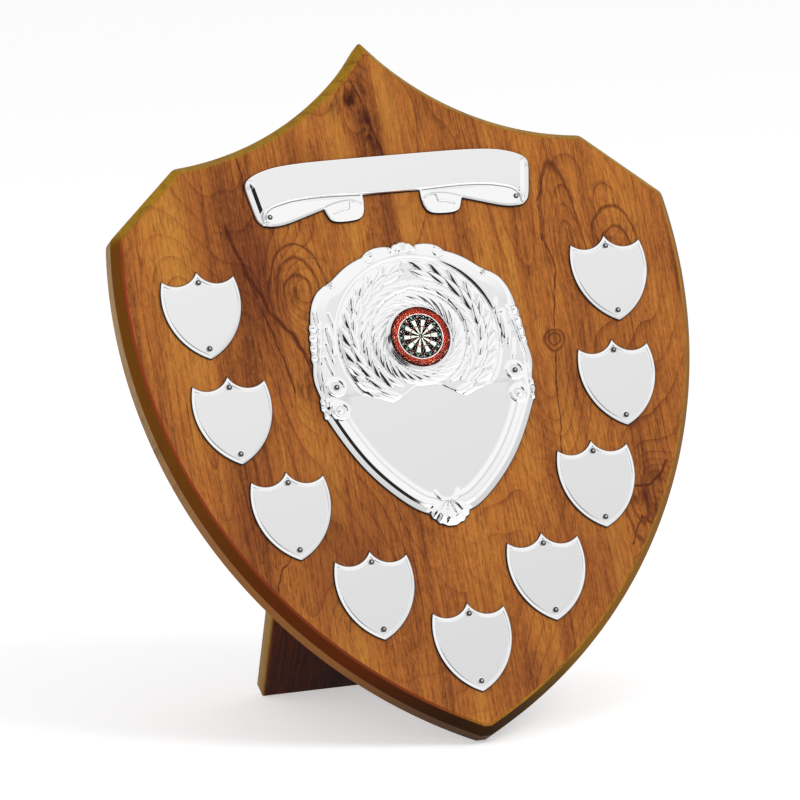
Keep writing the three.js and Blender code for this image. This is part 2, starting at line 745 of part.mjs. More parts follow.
const strutGroup = new THREE.Group();
strutGroup.rotation.x = openAngle;
strutGroup.add(mesh('strut', strut(), strutMaterial));
const mirrorToStrut = new THREE.Matrix4().makeRotationZ(Math.PI);
const strutLeaf = cutBy(hingeLeaf((k) => !isBoardKnuckle(k)), leafScrewHoles()).applyMatrix4(mirrorToStrut);
strutGroup.add(mesh('strut_hinge_leaf', strutLeaf, brassMaterial));
leafScrews.forEach((x, i) => {
  const geometry = leafScrew(strutScrewLength).applyMatrix4(mirrorToStrut);
  const screw = mesh(`strut_leaf_screw_${i + 1}`, geometry, brassMaterial);
  screw.position.set(x, 0, -leafScrewOffset);
  strutGroup.add(screw);
});
hingeGroup.add(strutGroup);
boardGroup.add(hingeGroup);

boardGroup.add(mesh('sawtooth_hanger', sawtoothHanger(), brassMaterial));
[-hangerPinSpread, hangerPinSpread].forEach((x, i) => {
  const pin = { x: -x, height: hangerHeight };
  const nail = platePin(`hanger_pin_${i + 1}`, pin, hangerThickness, hangerPinGrip, brassMaterial);
  nail.rotation.z = Math.PI;
  nail.position.set(x, seatGap, hangerHeight);
  boardGroup.add(nail);
});

// The origin is on the floor, under the middle of the whole
const model = new THREE.Group();
model.add(boardGroup);
model.updateMatrixWorld(true);
const bounds = new THREE.Box3().setFromObject(model, true);
boardGroup.position.set(
  -(bounds.min.x + bounds.max.x) / 2,
  -(bounds.min.y + bounds.max.y) / 2,
  -bounds.min.z,
);
model.updateMatrixWorld(true);

export default model;
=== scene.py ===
"""The looks of a perpetual award shield: stained board, chromed plates, domed insert, folding strut."""

import json
import math

import bpy
import numpy as np
from mathutils import Matrix, Vector
from mathutils.geometry import delaunay_2d_cdt


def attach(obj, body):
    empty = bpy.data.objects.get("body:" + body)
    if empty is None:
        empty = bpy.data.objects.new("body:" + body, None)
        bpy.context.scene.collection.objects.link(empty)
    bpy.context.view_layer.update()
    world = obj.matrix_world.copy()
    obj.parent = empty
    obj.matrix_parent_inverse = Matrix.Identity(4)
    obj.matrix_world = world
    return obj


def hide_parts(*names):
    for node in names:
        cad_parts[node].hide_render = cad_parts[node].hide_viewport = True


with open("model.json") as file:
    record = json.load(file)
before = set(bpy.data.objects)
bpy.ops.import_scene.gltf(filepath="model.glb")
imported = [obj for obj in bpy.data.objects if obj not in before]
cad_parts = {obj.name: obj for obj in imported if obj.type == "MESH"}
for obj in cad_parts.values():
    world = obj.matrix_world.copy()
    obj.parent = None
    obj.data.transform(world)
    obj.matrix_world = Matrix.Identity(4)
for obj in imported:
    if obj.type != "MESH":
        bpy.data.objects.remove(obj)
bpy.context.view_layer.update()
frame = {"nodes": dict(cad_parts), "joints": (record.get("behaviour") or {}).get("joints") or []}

# One millimetre in metres, and then sizes in millimetres, as in the CAD model
MM = 0.001
BOARD_LEAN = math.radians(24)
STRUT_LEAN = math.radians(27.2)
OPEN_ANGLE = BOARD_LEAN + STRUT_LEAN
SEAT_GAP = 0.3
BOARD_HEIGHT = 290
BOARD_THICKNESS = 13.5
SHOULDER = (86.6, 242.8)
CORNER = (117.2, 215.5)
TOP_ARC_RADIUS = 120.8
SIDE_ARC_RADIUS = 204.3
TIP_HALF_WIDTH = 2
CHAMFER_WIDTH = 3.4
CHAMFER_DEPTH = 5
HINGE_HEIGHT = 136.4
PIN_STANDOFF = 3
STRUT_WIDTH = 101
STRUT_THICKNESS = 9
CENTRE_BOTTOM = 84
CENTRE_HEIGHT = 119
CENTRE_HALF_WIDTH = 46.1
WREATH_HEIGHT = 77.7
SCROLL_BOTTOM = 212.8
SCROLL_HEIGHT = 26.8
SCROLL_HALF_WIDTH = 60.7
SMALL_HEIGHT = 36.7
SMALL_CORNER_HALF_WIDTH = 14.9
SMALL_CORNER_DROP = 2.9
SMALL_SIDE_RADIUS = 27
SMALL_DIP_RADIUS = 9.2
# Each row's distance from the middle as a share of the corner's, and its top as a share of the board's height
SMALL_ROW_SHARES = [(0.736, 0.683), (0.692, 0.532), (0.547, 0.391), (0.307, 0.269), (0, 0.183)]

# Places worked out from the frame. The board's frame has its back face at y = 0 and its bottom tip at z = 0.
hinge_point = Vector(frame["joints"][0]["pos_m"])
lean_back = Matrix.Rotation(-BOARD_LEAN, 4, "X")
board_origin = hinge_point - lean_back @ Vector((0, PIN_STANDOFF * MM, HINGE_HEIGHT * MM))
BOARD = Matrix.Translation(board_origin) @ lean_back @ Matrix.Scale(MM, 4)
HINGE = BOARD @ Matrix.Translation((0, PIN_STANDOFF, HINGE_HEIGHT))
STRUT = HINGE @ Matrix.Rotation(OPEN_ANGLE, 4, "X")
HINGE_FLOOR = hinge_point.z / MM


# Curves and outlines

def smooth(value):
    """0 below 0, 1 above 1 and an eased ramp between."""
    t = np.clip(value, 0, 1)
    return t * t * (3 - 2 * t)


def slope(value, low, high):
    """An even ramp from 0 at low to 1 at high, with its two ends eased."""
    share = (value - low) / (high - low)
    return sum(np.clip(share + shift, 0, 1) for shift in (-0.12, -0.06, 0, 0.06, 0.12)) / 5


def swell(offset, width):
    """1 where the offset is 0, fading to 0 within about two widths."""
    return np.exp(-((offset / width) ** 2))


def towards(value, target, share):
    return value + (target - value) * share


def unit(vectors):
    return vectors / np.linalg.norm(vectors, axis=1)[:, None]


def beside(directions):
    """Unit vectors a quarter turn to the left of each direction."""
    return unit(np.stack([-directions[:, 1], directions[:, 0]], axis=1))


def arc(start, end, radius, steps, centre_on_left):
    """Points of an arc from start to end, without its two ends."""
    start, end = np.array(start, float), np.array(end, float)
    chord = end - start
    half = np.hypot(*chord) / 2
    left = np.array([-chord[1], chord[0]]) / (2 * half)
    side = 1 if centre_on_left else -1
    centre = (start + end) / 2 + left * math.sqrt(radius**2 - half**2) * side
    first = math.atan2(*(start - centre)[::-1])
    sweep = (math.atan2(*(end - centre)[::-1]) - first) % (2 * math.pi)
    if not centre_on_left:
        sweep -= 2 * math.pi
    angles = first + sweep * np.arange(1, steps) / steps
    return [tuple(centre + radius * np.array([math.cos(a), math.sin(a)])) for a in angles]


def mirrored(right_half):
    """A closed outline, counter-clockwise from the front, from its right half listed upwards."""
    left_half = [(-x, z) for x, z in reversed(right_half) if x > 1e-6]
    return np.array([*right_half, *left_half], float)


def curve_through(points, steps=6):
    """A smooth curve through given points, ends kept."""
    p = np.array([points[0], *points, points[-1]], float)
    out = []
    for a, b, c, d in zip(p[:-3], p[1:-2], p[2:-1], p[3:]):
        bend, twist = 2 * a - 5 * b + 4 * c - d, 3 * b - a - 3 * c + d
        for t in np.arange(steps) / steps:
            out.append(tuple(0.5 * (2 * b + (c - a) * t + bend * t**2 + twist * t**3)))
    return [*out, tuple(p[-1])]


def relaxed(points, passes):
    """A line with its kinks evened out, ends kept."""
    line = np.array(points, float)
    for _ in range(passes):
        line[1:-1] = (line[:-2] + 2 * line[1:-1] + line[2:]) / 4
    return [tuple(point) for point in line]


def runs(stretches, half_width, height, passes=0):
    """Smooth stretches joined at corners, given as shares of a half width and a height.

    Each stretch starts where the last one ended. The long ones are relaxed.
    """
    points = []
    for stretch in stretches:
        picked = [*points[-1:], *[(x * half_width, z * height) for x, z in stretch]]
        line = curve_through(picked)
        points = points[:-1] + (relaxed(line, passes) if len(picked) > 6 else line)
    return points


def circle(centre, radius):
    """A closed line round a point, with a point every 7.5 degrees."""
    angles = np.linspace(0, 2 * math.pi, 49)
    return np.stack([centre[0] + radius * np.cos(angles), centre[1] + radius * np.sin(angles)], axis=1)


def both_sides(lines):
    """Each line and its mirror image."""
    return [np.array(line) * (side, 1) for line in lines for side in (1, -1)]


def segment_distance(x, z, start, end):
    """Offset from each point to a segment's nearest point, and how far along the segment that is."""
    (x0, z0), (x1, z1) = start, end
    dx, dz = x1 - x0, z1 - z0
    share = np.clip(((x - x0) * dx + (z - z0) * dz) / max(dx * dx + dz * dz, 1e-12), 0, 1)
    return x - x0 - share * dx, z - z0 - share * dz, share


def inside_distance(outline, x, z):
    """Distance to a closed outline, positive inside it, and the unit vector that points inwards."""
    nearest = np.full(x.shape, np.inf)
    inside = np.zeros(x.shape, bool)
    away_x, away_z = np.zeros(x.shape), np.zeros(x.shape)
    for (x0, z0), (x1, z1) in zip(outline, np.roll(outline, -1, axis=0)):
        off_x, off_z, _ = segment_distance(x, z, (x0, z0), (x1, z1))
        distance = np.hypot(off_x, off_z)
        closer = distance < nearest
        nearest = np.where(closer, distance, nearest)
        away_x, away_z = np.where(closer, off_x, away_x), np.where(closer, off_z, away_z)
        if z0 != z1:
            inside ^= ((z0 > z) != (z1 > z)) & (x < x0 + (z - z0) * (x1 - x0) / (z1 - z0))
    sign = np.where(inside, 1, -1)
    length = np.maximum(nearest, 1e-9)
    return nearest * sign, away_x / length * sign, away_z / length * sign


def inside(outline, x, z):
    return inside_distance(outline, x, z)[0]


def line_distance(points, x, z):
    """Distance to an open line of points, and the share of its length at the nearest point."""
    nearest = np.full(x.shape, np.inf)
    along = np.zeros(x.shape)
    count = len(points) - 1
    for i in range(count):
        off_x, off_z, share = segment_distance(x, z, points[i], points[i + 1])
        distance = np.hypot(off_x, off_z)
        closer = distance < nearest
        along = np.where(closer, (i + share) / count, along)
        nearest = np.where(closer, distance, nearest)
    return nearest, along


def resampled(outline, spacing):
    """The closed outline with points at most a spacing apart, its own corners kept."""
    points = []
    for start, end in zip(outline, np.roll(outline, -1, axis=0)):
        steps = max(1, math.ceil(np.hypot(*(end - start)) / spacing))
        points += [start + (end - start) * i / steps for i in range(steps)]
    return np.array(points)


def respaced(line, spacing):
    """The open line with even points about a spacing apart."""
    line = np.array(line, float)
    length = np.append(0, np.cumsum(np.hypot(*np.diff(line, axis=0).T)))
    steps = np.linspace(0, length[-1], math.ceil(length[-1] / spacing))
    return np.stack([np.interp(steps, length, axis) for axis in line.T], axis=1)


# Meshes

def add_piece(name, node, shape, materials, paint=None, sharp_degrees=None, normals=None, body="board"):
    """A new visible piece in place of a CAD node, with world coordinates in its mesh.

    The shape is its vertices and faces. Paint is the number of each face's material, and normals are one
    for each face corner.
    """
    vertices, faces = shape
    mesh = bpy.data.meshes.new(name)
    mesh.from_pydata([tuple(v) for v in vertices], [], [tuple(int(i) for i in f) for f in faces])
    mesh.polygons.foreach_set("use_smooth", [True] * len(faces))
    if sharp_degrees is not None:
        mesh.set_sharp_from_angle(angle=math.radians(sharp_degrees))
    if normals is not None:
        mesh.normals_split_custom_set([tuple(n) for n in normals])
    for each in materials:
        mesh.materials.append(each)
    if paint is not None:
        mesh.polygons.foreach_set("material_index", paint)
    mesh.update()
    piece = bpy.data.objects.new(name, mesh)
    bpy.context.scene.collection.objects.link(piece)
    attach(piece, body)
    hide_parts(node)
    return piece


def moved(matrix, points):
    """Points in a local frame, in millimetres, as world coordinates in metres."""
    whole = np.array(matrix)
    return np.asarray(points, float) @ whole[:3, :3].T + whole[:3, 3]


def on_face(points, x=0, height=0):
    """Points given as x, rise above the board's face, and height, from a place on the face, in the world."""
    p = np.asarray(points, float) + (x, 0, height)
    return moved(BOARD, np.stack([p[:, 0], -(BOARD_THICKNESS + p[:, 1]), p[:, 2]], axis=1))


def turned_to_face(directions):
    """Directions given as x, out of the face, and along the board, as unit vectors in the world."""
    return unit(np.asarray(directions, float) * (1, -1, 1)) @ np.array(lean_back)[:3, :3].T


def rings_to_mesh(rings):
    """Vertices and faces of a closed body through rings of equal count, first ring at the back."""
    count = len(rings[0])
    vertices = np.concatenate(rings)
    faces = [list(range(count))[::-1], [len(vertices) - count + i for i in range(count)]]
    for r in range(len(rings) - 1):
        for i in range(count):
            j = (i + 1) % count
            faces.append([r * count + i, r * count + j, (r + 1) * count + j, (r + 1) * count + i])
    return vertices, faces


def turned(profile, facets):
    """A turned body round the rise axis from [radius, rise] pairs; both ends lie on the axis."""
    angles = 2 * math.pi * np.arange(facets) / facets
    rings = [[(r * math.cos(a), y, r * math.sin(a)) for a in angles] for r, y in profile[1:-1]]
    vertices, faces = rings_to_mesh([np.array(ring) for ring in rings])
    back, last = len(vertices), len(vertices) - facets
    vertices = np.concatenate([vertices, [(0, profile[0][1], 0), (0, profile[-1][1], 0)]])
    body = faces[2:]
    for i in range(facets):
        j = (i + 1) % facets
        body += [[back, j, i], [back + 1, last + i, last + j]]
    return vertices, body


# Tarnish and painted shade, dark in the sheet's hollows and along its cut edge: how far beside a point its
# hollow is measured, what depth is free of it, over what depth it grows, how strong it is there, and how
# wide and how soft the dark line at the cut edge is
HOLLOW_REACH = 0.3
HOLLOW_FREE = 0.015
HOLLOW_DEPTH = 0.09
HOLLOW_SHADE_AND_TARNISH = 0.75
SHADED_AND_TARNISHED_EDGE = 0.34
EDGE_SOFTNESS = 0.2
# Offsets of the rows of points that follow a line where a relief steps
SEAM_ROWS = (-0.45, -0.25, -0.1, 0, 0.1, 0.2, 0.3, 0.45, 0.65)
# Slopes are taken over a short step, and a little inside the edge, where the sheet's rounded rim has begun
PROBE = 0.06
PROBE_INSET = 0.1
# A ring's point is left out where another part of the edge is nearer than this share of its inset
CLEAR_SHARE = 0.93


def relief_points(outline, edge, insets, grid_spacing, edge_spacing, seams):
    """The edge, rings inside it, a grid, and rows along the seams. Also the edge's inward directions."""
    inward = beside(np.roll(edge, -1, axis=0) - np.roll(edge, 1, axis=0))
    clouds = [edge]
    for inset_by in insets:
        ring = edge + inward * inset_by
        clouds.append(ring[inside(outline, *ring.T) > CLEAR_SHARE * inset_by])
    low, high = outline.min(axis=0), outline.max(axis=0)
    across, up = (np.arange(a + grid_spacing / 2, b, grid_spacing) for a, b in zip(low, high))
    grid = np.stack(np.meshgrid(across, up), axis=-1).reshape(-1, 2)
    clouds.append(grid[inside(outline, *grid.T) > insets[-1] + 0.5 * min(grid_spacing, edge_spacing)])
    for seam in seams:
        line = respaced(seam, edge_spacing)
        aside = beside(np.gradient(line, axis=0))
        for offset in SEAM_ROWS:
            row = line + aside * offset
            clouds.append(row[inside(outline, *row.T) > insets[-1] + 0.1])
    return np.concatenate(clouds), inward


def relief(outline, rise_at, insets, edge_spacing, grid_spacing, seams=()):
    """A closed sheet over an outline: its vertices, faces, normals of the face corners, and tarnish with
    painted shade.

    rise_at gives the rise from x, z and the distance inside the edge. Rings of points follow the edge at
    the insets, more rows follow the seams, where the relief steps, and a grid fills the rest. The tarnish
    and painted shade of a vertex runs from 0 on polished metal to 1 at the cut edge and in sharp hollows:
    partly tarnish, and partly painted shade in the creases and along the outline.
    """
    edge = resampled(outline, edge_spacing)
    count = len(edge)
    cloud, inward = relief_points(outline, edge, insets, grid_spacing, edge_spacing, seams)
    border = [(i, (i + 1) % count) for i in range(count)]
    found = delaunay_2d_cdt([Vector(p) for p in cloud], border, [], 1, 1e-6)
    origins = [each[0] for each in found[3]]
    edge_order = np.argsort(origins)[:count]
    faces = [list(face) for face in found[2]]
    flat = cloud[origins]
    x, z = flat.T
    distance, in_x, in_z = inside_distance(outline, x, z)
    distance = np.maximum(distance, 0)

    def rise_beside(dx, dz):
        return rise_at(x + dx, z + dz, distance + dx * in_x + dz * in_z)

    rise = rise_beside(0, 0)
    around = [(HOLLOW_REACH, 0), (-HOLLOW_REACH, 0), (0, HOLLOW_REACH), (0, -HOLLOW_REACH)]
    level = sum(rise_beside(*step) for step in around) / 4
    # Dark in sharp hollows and along the cut edge: partly tarnish, partly painted shade in the creases and at
    # the outline
    hollow = smooth((level - rise - HOLLOW_FREE) / HOLLOW_DEPTH) * (distance > HOLLOW_REACH)
    at_edge = smooth((SHADED_AND_TARNISHED_EDGE - distance) / EDGE_SOFTNESS + 0.5)
    tarnish_and_shade = np.maximum(HOLLOW_SHADE_AND_TARNISH * hollow, at_edge)
    # From here on rise_beside starts at points that are pushed in from the cut edge
    push = np.maximum(PROBE_INSET - distance, 0)
    x, z, distance = x + in_x * push, z + in_z * push, distance + push
    slope_x = rise_beside(PROBE, 0) - rise_beside(-PROBE, 0)
    slope_z = rise_beside(0, PROBE) - rise_beside(0, -PROBE)
    vertex_normals = np.stack([-slope_x, np.full(len(x), 2 * PROBE), -slope_z], axis=1)
    vertices = np.stack([flat[:, 0], rise, flat[:, 1]], axis=1)
    feet = vertices[edge_order] * (1, 0, 1) - (0, SEAT_GAP, 0)
    normals = [vertex_normals[i] for face in faces for i in face]
    first = len(vertices)
    for i in range(count):
        j = (i + 1) % count
        faces.append([edge_order[i], first + i, first + j, edge_order[j]])
        out_i, out_j = [(-inward[k, 0], 0, -inward[k, 1]) for k in (i, j)]
        normals += [out_i, out_i, out_j, out_j]
    faces.append([first + i for i in range(count)][::-1])
    normals += [(0, -1, 0)] * count
    vertices = np.concatenate([vertices, feet])
    return vertices, faces, turned_to_face(normals), np.concatenate([tarnish_and_shade, np.ones(count)])


# Shaders

def linear(hex_code, share=1.0):
    """An sRGB colour as a linear one, at some share of its brightness."""
    parts = [int(hex_code[i : i + 2], 16) / 255 for i in (0, 2, 4)]
    parts = [p / 12.92 if p <= 0.04045 else ((p + 0.055) / 1.055) ** 2.4 for p in parts]
    return (*[share * p for p in parts], 1.0)


class Field:
    """A number that varies over a surface. Sums and products of fields become math nodes."""

    def __init__(self, nodes, socket):
        self.nodes, self.socket = nodes, socket

    def __add__(self, other):
        return self.nodes.math("ADD", self, other)

    def __sub__(self, other):
        return self.nodes.math("SUBTRACT", self, other)

    def __mul__(self, other):
        return self.nodes.math("MULTIPLY", self, other)


class Nodes:
    """A short way to write a node tree. A colour may be given as an sRGB hex code."""

    def __init__(self, tree):
        self.tree = tree

    def node(self, kind, inputs=(), **settings):
        made = self.tree.nodes.new("ShaderNode" + kind)
        for key, value in settings.items():
            setattr(made, key, value)
        for key, value in dict(inputs).items():
            self.put(value, made.inputs[key])
        return made

    def put(self, value, socket):
        if isinstance(value, Field):
            value = value.socket
        if isinstance(value, bpy.types.NodeSocket):
            self.tree.links.new(value, socket)
        else:
            socket.default_value = linear(value) if isinstance(value, str) else value

    def field(self, node, output=0):
        return Field(self, node.outputs[output])

    def math(self, operation, *values, clamp=False):
        return self.field(self.node("Math", enumerate(values), operation=operation, use_clamp=clamp))

    def greatest(self, *values):
        """The greatest of some numbers and fields, at least 0."""
        most = 0.0
        for value in values:
            most = self.math("MAXIMUM", most, value)
        return most

    def ramp01(self, value, low, high):
        """0 at low, 1 at high, smooth between."""
        inputs = {"Value": value, "From Min": low, "From Max": high}
        return self.field(self.node("MapRange", inputs, interpolation_type="SMOOTHSTEP"))

    def mix(self, share, a, b, blend="MIX"):
        return self.node("Mix", {0: share, 6: a, 7: b}, data_type="RGBA", blend_type=blend).outputs[2]

    def colour_ramp(self, value, stops):
        """A colour by a value from 0 to 1, from [position, colour] stops in order."""
        ramp = self.node("ValToRGB", {0: value})
        elements = ramp.color_ramp.elements
        for element, (position, colour) in zip(elements, (stops[0], stops[-1])):
            element.position, element.color = position, colour
        for position, colour in stops[1:-1]:
            elements.new(position).color = colour
        return ramp.outputs[0]

    def noise(self, vector, scale, detail=2.0, roughness=0.5):
        """Noise about 0.5, with a scale for each axis."""
        stretched = self.node("VectorMath", {0: vector, 1: scale}, operation="MULTIPLY").outputs[0]
        inputs = {"Vector": stretched, "Scale": 1.0, "Detail": detail, "Roughness": roughness}
        return self.field(self.node("TexNoise", inputs), "Fac")

    def place(self, matrix):
        """The surface point in a local frame, in millimetres."""
        back = matrix.inverted()
        inputs = {
            "Vector": self.node("TexCoord").outputs["Object"],
            "Location": back.to_translation(),
            "Rotation": back.to_euler(),
            "Scale": (1 / MM,) * 3,
        }
        return self.node("Mapping", inputs, vector_type="POINT").outputs[0]

    def parts(self, vector):
        made = self.node("SeparateXYZ", {0: vector})
        return [self.field(made, axis) for axis in range(3)]

    def join(self, x, y, z):
        return self.node("CombineXYZ", {0: x, 1: y, 2: z}).outputs[0]

    def length(self, vector):
        return self.field(self.node("VectorMath", {0: vector}, operation="LENGTH"), "Value")

    def of_rays(self, *kinds):
        """1 for rays of these kinds and 0 for others."""
        path = self.node("LightPath")
        return self.greatest(*[self.field(path, f"Is {kind} Ray") for kind in kinds])


class Shader(Nodes):
    """A material, whose colour is built up in layers."""

    def __init__(self, name, colour):
        self.material = bpy.data.materials.new(name)
        self.material.use_nodes = True
        super().__init__(self.material.node_tree)
        self.surface = self.tree.nodes["Principled BSDF"]
        self.colour = colour

    def tint(self, share, colour, blend="MIX"):
        """Lays some share of another colour over the one so far."""
        self.colour = self.mix(share, self.colour, colour, blend)

    def finish(self, **sockets):
        names = {"specular": "Specular IOR Level", "transmission": "Transmission Weight", "ior": "IOR"}
        for key, value in {"base_color": self.colour, **sockets}.items():
            self.put(value, self.surface.inputs[names.get(key, key.replace("_", " ").title())])
        return self.material


# Knots on the board's face: x, height, radius, how many times taller than wide, and how many rings
KNOTS = [
    (-46, 186, 13, 1.5, 6),
    (-48, 143, 6, 1.6, 3),
    (57, 156, 7, 1.2, 6),
    (-79, 118, 9, 2.6, 2),
    (92, 205, 12, 2.2, 4),
    (70, 196, 9, 2.6, -3),
    (90, 92, 12, 1.1, -5),
    (76, 74, 7, 1.2, 4),
    (-47, 47, 9, 2.2, 3),
    (47, 100, 8, 2.4, -3),
    (-8, 262, 9, 2.2, 3),
]
# Patches of darker red stain and of golden stain: x, height, half width, half height, and how strong
RED_PATCHES = [
    (-62, 195, 15, 45, 1.0),
    (-35, 236, 14, 18, 0.55),
    (-48, 76, 26, 40, 0.95),
    (-84, 88, 12, 34, 0.8),
    (-40, 150, 14, 40, 0.6),
    (58, 60, 22, 34, 0.5),
    (60, 140, 14, 22, 0.5),
    (20, 20, 30, 16, 0.5),
    (-80, 224, 15, 18, 0.35),
]
GOLD_PATCHES = [
    (6, 262, 5, 26, 0.35),
    (5, 216, 6, 12, 0.3),
]
# Dark stains in the face: x, height, half width, half height, and how dark
STAINS = [
    (-4, 251, 5, 13, 1.2),
    (-10, 264, 5, 8, 1.1),
    (-16, 262, 4, 7, 0.7),
    (-4, 270, 3.5, 13, 0.7),
    (-47, 186, 3.5, 6, 0.8),
    (-50, 147, 3.5, 8, 0.8),
    (57, 157, 2.0, 2.6, 0.9),
    (-61, 232, 1.5, 14, 0.5),
    (80, 88, 6, 4, 0.8),
    (90, 96, 5, 6, 0.6),
    (-12, 206, 2, 8, 0.5),
    (97, 197, 2, 5, 0.6),
]
# Dark lines on the face: points of each line and its half width
VEINS = [
    ([(-71, 217), (-68, 203), (-63, 190), (-58, 179), (-51, 170), (-46, 155), (-44, 138)], 0.75),
    ([(-66, 196), (-61, 178), (-57, 160), (-54, 146)], 0.35),
    ([(57, 152), (55.5, 140), (53, 124), (51, 106)], 0.3),
    ([(-13, 280), (-5, 266), (-2.5, 252), (0, 236)], 0.45),
    ([(-62, 252), (-61, 236), (-62, 222)], 0.4),
    ([(66, 226), (61, 214), (60, 199), (63, 186), (61, 172), (58, 162)], 0.3),
    ([(70, 82), (79, 92), (87, 93), (95, 101)], 0.45),
    ([(74, 70), (80, 80), (86, 76)], 0.35),
    ([(-78, 60), (-72, 74), (-62, 84)], 0.25),
]
# Arched growth lines: middle x and height, half width, half height, 1 to open downwards, -1 upwards or 0 for
# a whole ring, and the line's half width
ARCHES = [
    (91, 196, 9.5, 14, 1, 0.35),
    (91, 193, 6.0, 8, 1, 0.3),
    (-46, 184, 9.5, 17, 1, 0.35),
    (-46, 184, 6.0, 11, 1, 0.3),
    (-46, 184, 12.5, 23, 1, 0.25),
    (80, 92, 7.0, 22, -1, 0.35),
    (80, 92, 4.0, 14, -1, 0.3),
    (69, 190, 8.5, 40, 1, 0.3),
    (-41, 44, 8.0, 22, 1, 0.25),
    (57, 156.5, 4.6, 4.2, 0, 0.4),
    (57, 157, 2.6, 2.4, 0, 0.4),
]
# The joint between the board's two planks, and how far apart their parts of the pattern lie
JOINT_X = 1.2
PLANK_SHIFT = 300.0


class Wood(Shader):
    """Stained wood with its grain along the local z axis: growth lines, fibres and short dark pores.

    The tones run from dark to light. Broadness and fibre are the strengths of the wide and the fine figure.
    """

    def __init__(self, name, matrix, tones, knots=(), joint=None, pore_depth=0.5, growth_tone="5c2414",
                 broadness=1.1, fibre=1.9):
        super().__init__(name, None)
        self.point = self.place(matrix)
        self.x, y, self.z = self.parts(self.point)
        pattern_z = self.z
        if joint is not None:
            pattern_z = self.z + self.math("GREATER_THAN", self.x, joint) * PLANK_SHIFT
        pattern = self.join(self.x, y, pattern_z)
        waver = self.noise(pattern, (0.05, 0.0, 0.009), detail=1.0, roughness=0.4)
        rings = self.noise(pattern, (0.012, 0.0, 0.0042), detail=1.5, roughness=0.4) * 42.0 + waver * 2.2
        flow = self.x + waver * 7.0
        for knot_x, knot_z, radius, tall, ring_count in knots:
            near, across = self.hill(knot_x, knot_z, radius, radius * tall)
            rings = rings + near * ring_count
            flow = flow - near * across * (0.45 * radius)
        shown = self.ramp01(self.noise(pattern, (0.03, 0.0, 0.02)), 0.35, 0.65)
        growth = self.math("POWER", self.math("FRACT", rings), 7.0) * (shown * 0.75 + 0.25)
        lines = self.join(flow, y, pattern_z)
        broad = self.noise(lines, (0.06, 0.02, 0.006), detail=3.0, roughness=0.6)
        fibres = self.noise(lines, (1.2, 0.4, 0.02), detail=4.0, roughness=0.78)
        mottle = self.noise(lines, (0.9, 0.1, 0.4), detail=3.0, roughness=0.75)
        pores = self.ramp01(self.noise(lines, (1.9, 0.8, 0.14)), 0.55, 0.68)
        figure = (broad - 0.5) * broadness + (fibres - 0.5) * fibre + (mottle - 0.5) * 0.8
        tone = self.math("SUBTRACT", figure + 0.41, growth * 0.18, clamp=True)
        self.colour = self.colour_ramp(tone, [*zip((0, 0.45, 0.95), map(linear, tones))])
        self.tint(growth * 0.5, growth_tone)
        self.tint(pores * pore_depth, linear(tones[0], 0.45))
        self.put(fibres * 0.2 + 0.38, self.surface.inputs["Roughness"])
        bump = self.node("Bump", {"Height": fibres - pores, "Strength": 0.2, "Distance": 0.0002})
        self.put(bump.outputs[0], self.surface.inputs["Normal"])

    def ellipse(self, middle_x, middle_z, half_width, half_height, x=None, z=None):
        """Offsets from an ellipse's middle, in half widths and half heights, and the sum of their squares."""
        across = ((x or self.x) - middle_x) * (1 / half_width)
        up = ((z or self.z) - middle_z) * (1 / half_height)
        return across, up, across * across + up * up

    def hill(self, *ellipse):
        """1 at the middle of an ellipse, fading away round it, and the offset across it in half widths."""
        across, _, squared = self.ellipse(*ellipse)
        return self.math("EXPONENT", squared * -1.4), across

    def strongest(self, patches):
        """How strong the strongest of some soft patches is at each point."""
        return self.greatest(*[self.hill(*ellipse)[0] * strength for *ellipse, strength in patches])

    def wavering(self):
        """x and z with small steady shifts of a few tenths of a millimetre to a few millimetres."""
        shift = self.noise(self.point, (0.12, 0.0, 0.06), detail=3.0)
        rise = self.noise(self.point, (0.05, 0.0, 0.05))
        return self.x + (shift - 0.5) * 6.0, self.z + (rise - 0.5) * 10.0

    def arches(self, x, z):
        """1 on the arches' thin lines, fading to 0 beside them and along their legs."""
        lines = []
        for *ellipse, opens, line in ARCHES:
            _, up, squared = self.ellipse(*ellipse, x, z)
            gap = self.math("ABSOLUTE", self.math("SQRT", squared) - 1.0)
            near = self.ramp01(gap, 2.6 * line / ellipse[2], 0.0)
            lines.append(near * self.ramp01(up * opens, -0.4, 0.2) if opens else near)
        return self.greatest(*lines) * 0.8

    def veins(self, x, z):
        """1 on the dark veins, fading to 0 beside them, and broken along them."""
        lines = []
        for points, half_width in VEINS:
            for (x0, z0), (x1, z1) in zip(points, points[1:]):
                length = math.hypot(x1 - x0, z1 - z0)
                ux, uz = (x1 - x0) / length, (z1 - z0) / length
                dx, dz = x - x0, z - z0
                held = self.math("MINIMUM", self.math("MAXIMUM", dx * ux + dz * uz, 0.0), length)
                off_x, off_z = dx - held * ux, dz - held * uz
                gap = self.math("SQRT", off_x * off_x + off_z * off_z)
                lines.append(self.ramp01(gap, half_width * 2.0, 0.2 * half_width))
        return self.greatest(*lines) * self.ramp01(self.noise(self.point, (0.3, 0.0, 0.2)), 0.25, 0.5)


